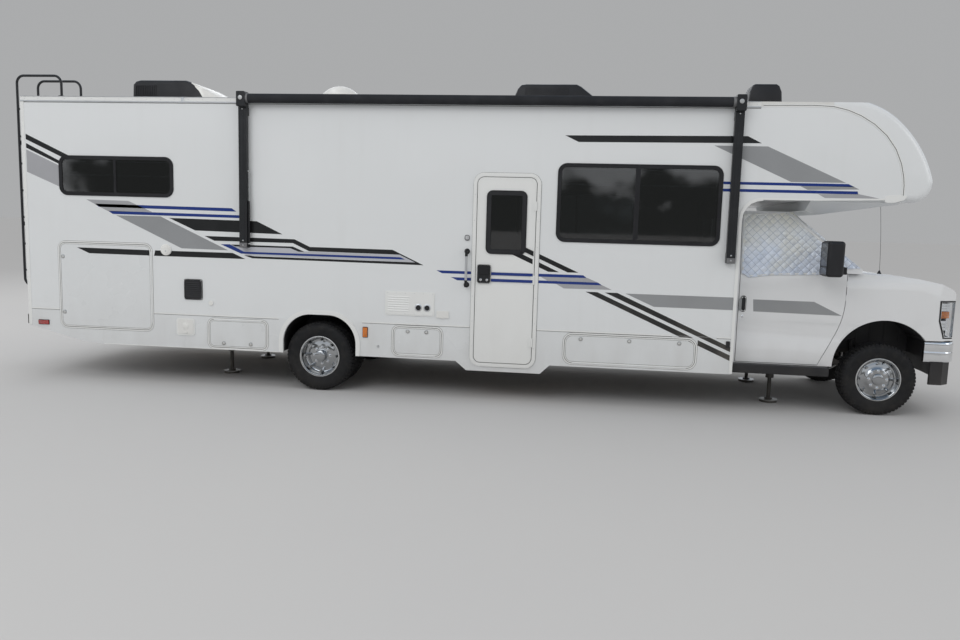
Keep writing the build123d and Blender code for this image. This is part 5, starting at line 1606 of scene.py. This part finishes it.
# Turned fittings: x, z, back from the wall, profile, finish, steps round
PORTS = (
    (-1460, 628, 11, ((1, 0), (34, 0), (33, 2), (30, 3), (1, 3)), "white_plastic", 28),
    (-1170, 884, 8, ((1, 0), (24, 0), (23, 4), (15, 5), (13, 3.5), (1, 3.5)), "white_plastic", 28),
    (-1663, 1431, 10, ((1, 0), (58, 0), (57, 4), (49, 6), (47, 3), (1, 3)), "white_plastic", 40),
    (-1663, 1431, 12, ((1, 0), (38, 0), (36, 5), (1, 6)), "white_plastic", 40),
    (-1663, 1417, 17, ((1, 0), (8, 0), (7, 2.5), (1, 2.5)), "aluminium", 28),
    (1060, 926, 8.5, FLUE, "aluminium", 28),
    (1150, 926, 8.5, FLUE, "aluminium", 28),
    (1060, 926, 9, FLUE_MOUTH, "satin_black", 28),
    (1150, 926, 9, FLUE_MOUTH, "satin_black", 28),
    (640, 505, 0, ((1, 0), (14, 0), (13, 3), (1, 4)), "aluminium", 28),
)
# Grab bar: its place, the profile of its feet, and each length of it as (radius, z from, z to, finish)
GRAB_X = 1548
GRAB_OUT = SEAT + 60
GRAB_FOOT = ((1, 0), (29, 0), (28, 6), (17, 12), (15, 30), (1, 30))
GRAB_LENGTHS = ((14.2, 1158, 1228, "satin_black"), (14.2, 1467, 1537, "satin_black"),
                (12.8, 1222, 1473, "aluminium"))


def make_fittings():
    made = Solid()
    for outline, corner, back, front, finish, rim in LIDS:
        slab(made, rounded(*outline, corner), RIGHT, SEAT + back, SEAT + front, finish, rim)
    for x, z, back, profile, finish, steps in PORTS:
        dial(made, x, z, RIGHT, SEAT + back, profile, finish, steps)
    louvre(made, -1442, -1293, 944, 8, 20, RIGHT, SEAT + 14, SEAT + 19, "black_plastic")
    louvre(made, 742, 960, 880, 7, 24, RIGHT, SEAT + 8, SEAT + 13, "white_trim")
    for z in (856, 1070):
        screw_row(made, (733, z), (1205, z), 6, RIGHT, SEAT + 8.8, 3.4)
    for z in (1180, 1515):
        dial(made, GRAB_X, z, RIGHT, SEAT + 4, GRAB_FOOT, "satin_black")
    for radius, low, high, finish in GRAB_LENGTHS:
        made.tube([spot(GRAB_X, RIGHT * GRAB_OUT, z) for z in (low, high)], radius * MM, FINISH[finish], 20)
    # Dark outlines round the lids and the vent: painted shadow lines
    for edge in (HEATER_DOOR, OUTLET_BOX, CABLE_LID, VENT):
        band(made, edge, 14, -3, 1, RIGHT, SEAT - 1, SEAT + 2, "painted_seam_shadow")
    dress(made.build("wall_fitting_details"), "coach")


NOSE_SEAM = ((4320, 2968), (4783, 2972), (4950, 2962), (5085, 2929), (5200, 2881), (5325, 2805), (5440, 2703),
             (5530, 2580), (5588, 2450), (5618, 2330), (5628, 2250), (5628, 2160))
LIP = ((4180, 402), (4180, 1140), (4180, 1912), (4190, 1966), (4218, 2022), (4262, 2066), (4318, 2090),
       (4376, 2100), (4900, 2104), (5470, 2121))
LIP_TURN = 7
NOSE_CAP_END = ((5470, 2100), (5500, 2088), (5560, 2092), (5640, 2118), (5668, 2150), (5640, 2166),
                (5500, 2160),
                (5468, 2146))
# Ends of the roof rail, its joints, and the upright edge at the back
RAIL_BACK = -3272
RAIL_FRONT = 4300
RAIL_JOINTS = (-1450, 900, 3250)
BACK_LOW = 566
BACK_HIGH = 2950
# Runs of the moulding over the skirt on each side, clear of doors, hatches and wheels
BELT_RUNS = {
    RIGHT: ((-3236, -2908), (-1818, -430), (470, 1590), (2274, 3600), (4030, 4165)),
    LEFT: ((-3236, -430), (470, 4165)),
}


def make_edge_trims():
    made = Solid()
    for side in (RIGHT, LEFT):
        # The thinnest band under the rail is a dark line: a painted shadow line
        for low, high, front, finish, rim in (
                (2950, 2998, 4, "white_trim", 1), (2948, 2958, 9, "aluminium", 2),
                (2938, 2943, 1, "painted_seam_shadow", 0)):
            slab(made, rect(RAIL_BACK, RAIL_FRONT, low, high), side, SEAT, SEAT + front, finish, rim)
        for x in RAIL_JOINTS:
            slab(made, rect(x - 16, x + 16, 2946, 3000), side, SEAT + 2, SEAT + 10.5, "aluminium", 1)
        screw_row(made, (-3220, 2978), (4260, 2978), 50, side, SEAT + 4, 3.6)
        strip(made, NOSE_SEAM, 26, side, SEAT - 3, SEAT + 2.5, "white_trim")
        # Dark line along the nose seam: a painted shadow line
        strip(made, NOSE_SEAM, 5, side, SEAT, SEAT + 3.6, "painted_seam_shadow")
        strip(made, LIP[:LIP_TURN + 1], 30, side, SEAT - 4, SEAT + 7, "white_trim")
        strip(made, LIP[LIP_TURN:], 16, side, SEAT - 4, SEAT + 6, "white_trim")
        slab(made, NOSE_CAP_END, side, SEAT - 20, SEAT + 3, "white_trim", 2)
        slab(made, rect(-3274, -3236, BACK_LOW, BACK_HIGH), side, SEAT - 3, SEAT + 3, "white_trim", 1.5)
        screw_row(made, (-3255, 640), (-3255, 2900), 16, side, SEAT + 2.8, 3.2, "white_plastic")
        near, far = sorted((side * (SEAT - 30), side * (SEAT + 2)))
        made.block(spot(-3275, near, BACK_LOW), spot(-3269, far, BACK_HIGH), FINISH["white_trim"], 0.001)
        for x0, x1 in BELT_RUNS[side]:
            slab(made, rect(x0, x1, 745, 761), side, SEAT, SEAT + 3, "white_trim", 1)
            # Dark line under the moulding: a painted shadow line
            slab(made, rect(x0, x1, 741, 745), side, SEAT, SEAT + 0.8, "painted_seam_shadow")
        slab(made, rect(-2400, -430, 393, 401), side, SEAT - 14, SEAT + 3, "white_trim")
    dress(made.build("edge_trims"), "coach")


# Rolled cloth: its axis, ends, radius, and how far its hem stands out
ROLL_Y = -(SEAT + 66)
ROLL_Z = 2986
ROLL_BACK = -735
ROLL_FRONT = 4055
ROLL_R = 46.6
ROLL_HEM = 1.6
END_CAP = ((0.1, -24), (48.8, -24), (48.8, 4), (40, 7), (30, 7), (28, 14), (0.1, 14))
# Arms: their places, their face, the gas strut beside the rear one, and the turned heads on them
ARMS_X = (-778, 4101)
ARM_OUT = 1337
STRUT_X = -726
STRUT_Y = -(SEAT + 48)
PIVOT = ((1, 0), (22, 0), (21, 3), (12, 4), (1, 4))
BOLT = ((1, 0), (9, 0), (9, 4), (6, 6), (1, 6))
SMALL_BOLT = ((1, 0), (7, 0), (7, 3), (1, 4))


def make_awning_details():
    made = Solid()
    rings = []
    for x in range(ROLL_BACK, ROLL_FRONT + 1, 40):
        radius = ROLL_R + (0.25 * math.sin(x / 310) + 0.15 * math.sin(x / 97))
        reach = [radius + (ROLL_HEM if k == 3 else 0) for k in range(40)]
        rings.append([spot(x, ROLL_Y + r * math.cos(a), ROLL_Z + r * math.sin(a))
                      for r, a in zip(reach, angles(40))])
    made.skin(rings, FINISH["awning_cloth"])
    for x, way in ((ROLL_BACK, -1), (ROLL_FRONT, 1)):
        made.knob(scaled(END_CAP, way), spot(x, ROLL_Y, ROLL_Z), "X", FINISH["grey_plastic"], 40)
    for x in ARMS_X:
        for half, low, high, back, front, finish, rim in (
                (30, 1500, 2890, -1, 1.5, "arm_black", 1), (13, 1540, 2860, 1, 5, "arm_black", 2),
                (39, 1484, 1532, -2, 5, "grey_plastic", 3)):
            slab(made, rect(x - half, x + half, low, high), RIGHT, ARM_OUT + back, ARM_OUT + front, finish,
                 rim)
        slab(made, rounded(x - 45, x + 47, 2900, 3050, 14), RIGHT, ARM_OUT - 4, 1386.5, "arm_black", 5)
        dial(made, x, ROLL_Z, RIGHT, 1386, PIVOT, "zinc_steel")
        for z in (1508, 1556):
            dial(made, x, z, RIGHT, ARM_OUT + 4, BOLT, "zinc_steel", 6)
        for z in (2830, 2880):
            dial(made, x, z, RIGHT, ARM_OUT + 1, SMALL_BOLT, "zinc_steel", 6)
    foot, neck, top = (spot(STRUT_X, STRUT_Y, z) for z in (1530, 1960, 2260))
    made.tube([foot, neck], 0.011, FINISH["satin_black"], 20)
    made.tube([neck, top], 0.005, FINISH["chrome"], 14)
    for z in (1524, 2262):
        made.tube([spot(x, STRUT_Y, z) for x in (-742, -714)], 0.009, FINISH["zinc_steel"], 14)
    slab(made, rect(RAIL_BACK, RAIL_FRONT, 3000, 3003), RIGHT, SEAT - 2, SEAT + 8, "aluminium")
    dress(made.build("awning_details"), "coach")


make_windows()
make_hatches()
make_entry_door()
make_fittings()
make_edge_trims()
make_awning_details()


# Lamps

HEADLAMPS_X = 6000


def lamp_finish(x):
    """Finish of the lamp at a place, in millimetres ahead of the rear axle."""
    if x > HEADLAMPS_X:
        return "lamp_cover"
    return "amber_lens" if x > 0 else "red_lens"


def swept(solid, path, section, finish):
    """A section of (distance out, height) along a plan path of (x, y); out is to the right of its travel."""
    rings = []
    for k, point in enumerate(path):
        ahead = Vector(path[min(k + 1, len(path) - 1)]) - Vector(path[max(k - 1, 0)])
        out = Vector((ahead.y, -ahead.x)).normalized()
        rings.append([spot(point[0] + out.x * reach, point[1] + out.y * reach, z) for reach, z in section])
    solid.skin(rings, FINISH[finish])


def sided(path, side):
    """A plan path drawn for the right side, for either, still with its outside to the right."""
    return list(path) if side < 0 else [(x, -y) for x, y in reversed(path)]


# Plan of the inside of a headlamp, from its rear edge round to the grille
LAMP_PLAN = ((6196, -950), (6216, -944), (6262, -924), (6292, -900), (6304, -850), (6312, -790), (6319, -730),
             (6324, -690))
# Bars of a headlamp's reflector: top and height. Those under the turn signal stand back and lean
LAMP_BARS = ((1144, 24), (1118, 24), (1092, 24), (972, 30), (940, 30), (908, 30))
LEAN_FROM = 980
LEAN = 0.20
# Sections of the turn signal, the bar at the foot and the dark back of a headlamp
SIGNAL = ((0, 1062), (-18, 1066), (-20, 994), (0, 998))
FOOT_BAR = ((-2, 876), (-22, 878), (-22, 836), (-6, 834))
LAMP_BACK = ((-24, 1150), (-30, 1150), (-30, 822), (-24, 822))
# Dark rim round a headlamp's opening, as (x, z), outside edge and inside edge
LAMP_RIM = (((6330, 1172), (6331, 1158)), ((6165, 1172), (6181, 1158)), ((6167, 971), (6183, 974)),
            ((6222, 799), (6236, 812)), ((6330, 799), (6331, 812)))
RIM_LIFT = 0.0015
# Tail lamps: middle, their lenses by height, and the half width and face of each dark edge beside them
TAIL_Y = SEAT - 135
TAIL_LENSES = ((780, 900, "red_lens"), (695, 767, "clear_lens"))
TAIL_EDGES = ((55, -3300.5), (51, -3301.5))
# Dark plates under the side markers, as (x0, x1, z0, z1, corner radius)
MARKER_PLATES = ((-3160, -3032, 574, 628, 6), (475, 532, 593, 704, 8))
CLEARANCE_Y = (-1050, -180, 0, 180, 1050)


def make_lamps():
    form = merged("lamps")
    for face in form.faces:
        face.smooth = False
    covers = Solid()
    for finish in ("lamp_cover", "amber_lens", "red_lens"):
        part = form.copy()
        others = [face for face in part.faces
                  if lamp_finish((face.calc_center_median().x - REAR_AXLE_X) / MM) != finish]
        bmesh.ops.delete(part, geom=others, context="FACES")
        covers.take(part, FINISH[finish])
    form.free()
    for side in (RIGHT, LEFT):
        for z, size in LAMP_BARS:
            back = 14 if z < LEAN_FROM else 0
            way = [(x - back + (LEAN_FROM - z) * LEAN * (x < 6230), y) for x, y in LAMP_PLAN]
            bar = ((0, z), (-10, z - 2), (-20, z - size * 0.5), (-10, z - size + 3), (0, z - size))
            swept(covers, sided(way, side), bar, "lamp_bowl")
        swept(covers, sided(LAMP_PLAN, side), SIGNAL, "amber_lens")
        swept(covers, sided(LAMP_PLAN[2:], side), FOOT_BAR, "lamp_bowl")
        swept(covers, sided(LAMP_PLAN, side), LAMP_BACK, "satin_black")
        for (a, b), (c, d) in zip(LAMP_RIM, LAMP_RIM[1:]):
            lay_decal(covers, (a, c, d, b), "front_wings", side, "satin_black", RIM_LIFT, BENT_STEP / 4)
        y = side * TAIL_Y
        for low, high, finish in TAIL_LENSES:
            covers.block(spot(-3302.5, y - 50, low), spot(-3299, y + 50, high), FINISH[finish], 0.001)
        for half, face in TAIL_EDGES:
            for edge in (y - half, y + half - 4):
                covers.block(spot(face, edge, 690), spot(-3296, edge + 4, 905), FINISH["satin_black"], 0.0008)
        for plate_mm in MARKER_PLATES:
            slab(covers, rounded(*plate_mm), side, SEAT, SEAT + 6, "satin_black", 2)
    for y in CLEARANCE_Y:
        covers.block(spot(-3280, y - 56, 2874), spot(-3268, y + 56, 2921), FINISH["white_plastic"], 0.002)
    dress(covers.build("lamps_dressed"), "coach", ("lamps",))


# Cab

# Bumper in plan: its nose, how far it bows back over its half width, and its wrap round the corner
BUMPER_NOSE = 6449.6
BUMPER_BOW = 87.6
BUMPER_HALF = 905
BUMPER_WRAP = ((6062, -984), (6160, -985), (6240, -985), (6272, -982), (6300, -970), (6326, -948),
               (6346, -924),
               (6362, -902))


def bumper_x(y):
    return BUMPER_NOSE - BUMPER_BOW * (y / BUMPER_HALF) ** 2


BUMPER_PLAN = [*BUMPER_WRAP, *((bumper_x(y), y) for y in range(-840, 0, 60))]
BUMPER_WHOLE = [*BUMPER_PLAN, (BUMPER_NOSE, 0), *((x, -y) for x, y in reversed(BUMPER_PLAN))]
# Sections by distance out from the bumper's plan line and height: its face and the pad on its top
BUMPER_FACE = ((-40, 572), (-30, 566), (-12, 566), (-5, 569), (-1, 577), (0, 590), (0, 655), (-1, 662),
               (-4.5, 667), (-4.5, 675), (-1, 681), (-1, 742), (-3, 754), (-9, 763), (-18, 767.5), (-40, 768),
               (-46, 760), (-46, 580))
BUMPER_PAD = ((-12, 764), (-44, 764), (-44, 774), (-36, 778), (-20, 778), (-12, 774))
BUMPER_BOLT = ((0.5, 0), (11, 0), (10, 4), (5, 7), (0.5, 7))
BOLT_Y = 430
# The side panel and the arch behind a wing, and the ribs that show in the wheel opening
INNER_WING = ((5300, 600), (6215, 600), (6215, 1150), (6000, 1240), (5600, 1310), (5300, 1330))
WING_RIBS = (5420, 5560, 5700, 5840, 5980)
ARCH_AT = (5680, 480)
ARCH_R = 486
# Radiator, and the fins across it: count, place of the first one, pitch
RADIATOR = ((6150, -600, 640), (6196, 600, 1150))
FINS = 150
FIRST_FIN = (6200, -596, 895)
FIN_PITCH = 0.008
# Aerial on the right wing: place, height of its mast, how far it leans back, and the turned forms at its ends
AERIAL_AT = (5646, -800)
MAST = 800
MAST_LEAN = 60
AERIAL_FOOT = ((21, 0), (21, 6), (12, 22), (6, 36), (0.5, 38))
AERIAL_TIP = ((0.5, -3), (3, 0), (3, 4), (0.5, 6))
# Cab door: recess of the handle, the handle, and the lock below
HANDLE_RECESS = (4282, 4340, 992, 1154, 26)
HANDLE_GRIP = (4289, 4333, 1002, 1144, 21)
LOCK = ((1, 0), (12, 0), (12, 2.5), (9.5, 4), (1, 4))
# Mirror glass: its inner and outer edge from the middle plane, and the upper and the lower glass
MIRROR_Y = (1190, 1376)
MIRROR_PANES = ((1484, 1700), (1404, 1470))


def top_of(node, x, y):
    """Height of a node's top at a plan place, in millimetres."""
    return surface(node).ray_cast(spot(x, y, 3000), Vector((0, 0, -1)))[0].z / MM


def make_cab_details():
    made = Solid()
    bumper = Solid()
    swept(bumper, BUMPER_WHOLE, BUMPER_FACE[::-1], "chrome")
    swept(bumper, BUMPER_WHOLE, BUMPER_PAD, "black_rubber")
    for y in (-BOLT_Y, BOLT_Y):
        bumper.knob(scaled(BUMPER_BOLT), spot(bumper_x(y) - 8, y, 620), "X", FINISH["zinc_steel"], 20)
    dress(bumper.build("front_bumper_dressed", 40), "coach", ("front_bumper",))
    for side in (RIGHT, LEFT):
        strip(made, ((6036, 800), (6056, 785), (6082, 760), (6082, 600)), 6, side, 522, 945, "black_plastic")
        slab(made, INNER_WING, side, 508, 514, "black_plastic")
        for x in WING_RIBS:
            slab(made, rect(x, x + 22, 700, 1180), side, 513, 519, "black_plastic", 2)
        x, z = ARCH_AT
        arch = [(x + ARCH_R * math.cos(a), z + ARCH_R * math.sin(a))
                for a in map(math.radians, range(172, 32, -7))]
        strip(made, arch, 9, side, 972, 1009.5, "cab_paint")
    low, high = RADIATOR
    made.block(spot(*low), spot(*high), FINISH["black_plastic"], 0.004)
    fin = Solid()
    fin.block((-0.004, -0.0015, -0.24), (0.004, 0.0015, 0.24), FINISH["grey_plastic"])
    repeated(made, fin, "grey_plastic", FINS, spot(*FIRST_FIN), (0, FIN_PITCH, 0))
    x, y = AERIAL_AT
    z = top_of("front_wings", x, y)
    made.knob(scaled(AERIAL_FOOT), spot(x, y, z - 2), "Z", FINISH["satin_black"], 24)
    mast = [spot(x - MAST_LEAN * t ** 1.6, y, z + 30 + MAST * t) for t in (k / 12 for k in range(13))]
    made.tube(mast, 0.0017, FINISH["satin_black"], 8)
    made.knob(scaled(AERIAL_TIP), mast[-1], "Z", FINISH["satin_black"], 12)
    slab(made, rounded(4120, 4158, 658, 722, 8), RIGHT, SEAT, SEAT + 13, "satin_black", 3)
    dress(made.build("cab_details"), "coach")
    for name, side in SIDES:
        leaf = Solid()
        slab(leaf, rounded(*HANDLE_RECESS), side, 1007, 1011, "black_rubber", 1.5)
        slab(leaf, rounded(*HANDLE_GRIP), side, 1010, 1026.5, "satin_black", 6)
        dial(leaf, 4310, 945, side, 1006, LOCK, "chrome")
        slab(leaf, rect(4309, 4311, 939, 951), side, 1009, 1010.6, "satin_black")
        low, high = sorted(side * y for y in MIRROR_Y)
        for z0, z1 in MIRROR_PANES:
            pane = scaled(rounded(low, high, z0, z1, 18))
            leaf.prism(pane, "X", station(4965.5), station(4969), FINISH["mirror_glass"], 0.0008)
        outer = scaled(rounded(low - 8, high + 8, 1396, 1710, 24))
        inner = scaled(rounded(low - 2, high + 2, 1402, 1704, 20))
        leaf.ring(outer, inner, "X", station(4964), station(4972), FINISH["satin_black"])
        leaf.block(spot(5119, low + 30, 1650), spot(5124, high - 30, 1680), FINISH["amber_lens"], 0.001)
        dress(leaf.build("cab_door_trims_" + name), "cab_door_" + name)


# Roof

# Covers of the roof units, from their side
AIR_BACK = ((-2552, 3030), (-2541, 3285), (-2505, 3322), (-2450, 3335), (-1900, 3335), (-1840, 3318),
            (-1780, 3280), (-1725, 3225), (-1685, 3160), (-1664, 3090), (-1660, 3030))
AIR_NOSE = ((-2100, 3030), (-2100, 3328), (-1880, 3328), (-1820, 3312), (-1640, 3226), (-1500, 3150),
            (-1462, 3100), (-1453, 3030))
AIR_FRONT = ((1868, 3030), (1890, 3180), (1925, 3268), (1965, 3306), (2020, 3314), (2560, 3314), (2610, 3290),
             (2742, 3190), (2768, 3030))
FRONT_BOX = ((4292, 3030), (4310, 3200), (4336, 3262), (4362, 3275), (4570, 3275), (4598, 3256), (4622, 3200),
             (4638, 3030))
# Gaskets under them: ends, middle, half width
GASKETS = ((-2575, -1448, 0, 372), (1846, 2790, 0, 372), (4270, 4660, -500, 162))
# Side louvres: place of the first slot and their number
LOUVRES = ((-2500, 12), (2010, 22))
# Dome: its foot as (radius, height), then a round of this radius about this height
DOME_FOOT = [(300, 3046), (304, 3056), (302, 3072), (286, 3080), (276, 3084)]
DOME_R = 272.5
DOME_Z = 3062
DOME_TOP = (0.5, 3334.5)
ROOF_SCREW = ((6, 0), (5.5, 3), (0.6, 4))


def housing(solid, points, half, y, finish, rim=26):
    """A moulded cover drawn from its side, its flanks rounded over."""
    outline = plate(points)
    eased = rim * 0.32
    end, shoulder = shrunk(outline, rim * MM), shrunk(outline, eased * MM)
    levels = ((end, -half), (shoulder, eased - half), (outline, rim - half), (outline, half - rim),
              (shoulder, half - eased), (end, half))
    solid.skin([[spread(p, "Y", (y + depth) * MM) for p in ring] for ring, depth in levels], FINISH[finish])


def make_roof_units():
    made = Solid()
    housing(made, AIR_BACK, 358, 0, "black_plastic")
    housing(made, AIR_NOSE, 352, 0, "white_plastic")
    housing(made, AIR_FRONT, 358, 0, "black_plastic")
    housing(made, FRONT_BOX, 148, -500, "black_plastic", 18)
    for x0, count in LOUVRES:
        for side in (RIGHT, LEFT):
            slot = Solid()
            near, far = sorted((0, side * 5 * MM))
            slot.prism(scaled(((-4, -60), (4, -60), (8, 60), (0, 60))), "Y", near, far, FINISH["satin_black"])
            repeated(made, slot, "satin_black", count, spot(x0, side * 357, 3215), (22 * MM, 0, 0))
    for x0, x1, y, half in GASKETS:
        outline = [(station(x), z * MM) for x, z in rounded(x0, x1, y - half, y + half, 60)]
        made.prism(outline, "Z", 3.0, 3.0752, FINISH["black_rubber"], 0.004)
    dome = [(DOME_R * math.cos(a), DOME_Z + DOME_R * math.sin(a)) for a in map(math.radians, range(6, 90, 6))]
    made.knob(scaled([*DOME_FOOT, *dome, DOME_TOP]), spot(-165, 0, 0), "Z", FINISH["white_plastic"], 64)
    for side in (RIGHT, LEFT):
        screw = Solid()
        screw.knob(scaled(ROOF_SCREW), (0, 0, 0), "Z", FINISH["aluminium"], 10)
        repeated(made, screw, "aluminium", 9, spot(-2500, side * 364, 3074.8), (0.125, 0, 0))
    made.block(spot(-3262, -1180, 3000), spot(-3225, 1180, 3007), FINISH["white_trim"], 0.002)
    dress(made.build("roof_units_dressed"), "coach", ("roof_units",))


# Rear and underside

# Ladder: its rails, the heights of their stays, the foot of its hooks on the roof, and its rungs
RAILS_Y = (-1130, -800)
STAYS_Z = (1660, 2530)
HOOK_X = -2890
RUNGS = 7
FIRST_RUNG = 1150
RUNG_PITCH = 290
STAY_PLATE = ((26, 0), (26, 4), (20, 8), (0.5, 8))
HOOK_PAD = ((0.5, -6), (36, -6), (36, 4), (0.5, 4))


def make_rear_details():
    made = Solid()
    for y in RAILS_Y:
        for z in STAYS_Z:
            made.tube([spot(-3400, y, z - 22), spot(-3400, y, z + 22)], 0.0172, FINISH["satin_black"], 20)
            made.knob(scaled(STAY_PLATE), spot(-3278, y, z), "X", FINISH["satin_black"], 24)
        pad_at = spot(HOOK_X, y, top_of("roof_panel", HOOK_X, y) + 6)
        made.knob(scaled(HOOK_PAD), pad_at, "Z", FINISH["black_rubber"], 28)
    sleeve = Solid()
    sleeve.tube([(0, -0.12, 0), (0, 0.12, 0)], 0.0135, FINISH["black_rubber"], 20)
    repeated(made, sleeve, "black_rubber", RUNGS, spot(-3404, -965, FIRST_RUNG), (0, 0, RUNG_PITCH * MM))
    for rung in range(RUNGS):
        ridge = Solid()
        ridge.tube([(0, -0.0015, 0), (0, 0.0015, 0)], 0.0147, FINISH["black_rubber"], 16)
        start = spot(-3403, -1070, FIRST_RUNG + rung * RUNG_PITCH)
        repeated(made, ridge, "black_rubber", 15, start, (0, 0.015, 0))
    made.block(spot(-3275, 330, 880), spot(-3272, 660, 1060), FINISH["white_plastic"], 0.001)
    made.block(spot(-3278, 342, 893), spot(-3274.5, 648, 1047), FINISH["aluminium"], 0.001)
    made.block(spot(-3292, 440, 1064), spot(-3272, 550, 1082), FINISH["satin_black"], 0.003)
    made.block(spot(-3300, -60, 2810), spot(-3272, 60, 2862), FINISH["satin_black"], 0.006)
    made.tube([spot(-3306, 0, 2836), spot(-3298, 0, 2836)], 0.014, FINISH["dark_glass"], 24)
    for y in (-1131, 1127):
        made.block(spot(-3389, y, 558), spot(-3285, y + 4, 662), FINISH["black_rubber"], 0.001)
    for z in (945, 2790):
        made.block(spot(-3273.5, -1223, z - 4), spot(-3271, 1223, z + 4), FINISH["white_trim"], 0.001)
    dress(made.build("rear_details"), "coach")


PIPE_BEND = 0.12


def pipe_path(points):
    """Rounds each corner of a run by an arc-like curve."""
    smooth = [points[0]]
    for before, corner, after in zip(points, points[1:], points[2:]):
        back, on = (before - corner), (after - corner)
        start = corner + back.normalized() * min(PIPE_BEND, back.length / 2)
        end = corner + on.normalized() * min(PIPE_BEND, on.length / 2)
        for t in (k / 6 for k in range(7)):
            smooth.append(start * (1 - t) ** 2 + corner * 2 * t * (1 - t) + end * t ** 2)
    return smooth + [points[-1]]


# Exhaust pipe's corners, from the engine to the back, and the muffler's profile
EXHAUST = ((5080, 250, 600), (4920, 250, 470), (2900, 250, 440), (900, 250, 440), (420, 250, 520),
           (-420, 250, 520), (-760, 250, 428), (-2560, 250, 428), (-2760, 520, 428), (-3150, 560, 420))
MUFFLER = ((0.1, 0), (70, 4), (92, 24), (92, 640), (70, 660), (0.1, 664))
HANGERS = (4300, 3100, 1500, -1100, -2400)
# Levelling jacks: their plan places, the collar at their top and the plate at their foot
JACKS = ((-1286, 530), (4724, 560))
JACK_COLLAR = ((0.5, 0), (62, 0), (64, 20), (52, 30), (50, 120), (0.5, 120))
JACK_PLATE = ((0.5, -2), (94, -2), (94, 4), (0.5, 4))


def make_underside():
    made = Solid()
    made.tube(pipe_path([spot(*p) for p in EXHAUST]), 0.034, FINISH["cast_iron"], 20)
    made.knob(scaled(MUFFLER), spot(2200, 250, 438), "X", FINISH["zinc_steel"], 40)
    for x in HANGERS:
        low = 560 if x > 0 else 470
        made.tube([spot(x, 250, 440), spot(x, 250, low)], 0.006, FINISH["black_rubber"], 8)
    beam = Solid()
    beam.block((-0.03, -1.2, -0.05), (0.03, 1.2, 0.0), FINISH["zinc_steel"], 0.003)
    repeated(made, beam, "zinc_steel", 2, spot(-3000, 0, 761), (0.48, 0, 0))
    for side in (RIGHT, LEFT):
        for x, y in JACKS:
            made.knob(scaled(JACK_COLLAR), spot(x, side * y, 560), "Z", FINISH["zinc_steel"], 28)
            made.knob(scaled(JACK_PLATE), spot(x, side * y, 25), "Z", FINISH["zinc_steel"], 32)
        for x in (-560, 560):
            slab(made, rect(x - 26, x + 26, 470, 530), side, 388, 472, "cast_iron", 3)
        made.tube([spot(300, side * 500, 420), spot(420, side * 500, 730)], 0.032, FINISH["satin_black"], 20)
        made.tube([spot(5540, side * 560, 470), spot(5520, side * 560, 700)], 0.030, FINISH["satin_black"],
                  20)
    dress(made.build("underside_details"), "coach")


make_lamps()
make_cab_details()
make_roof_units()
make_rear_details()
make_underside()
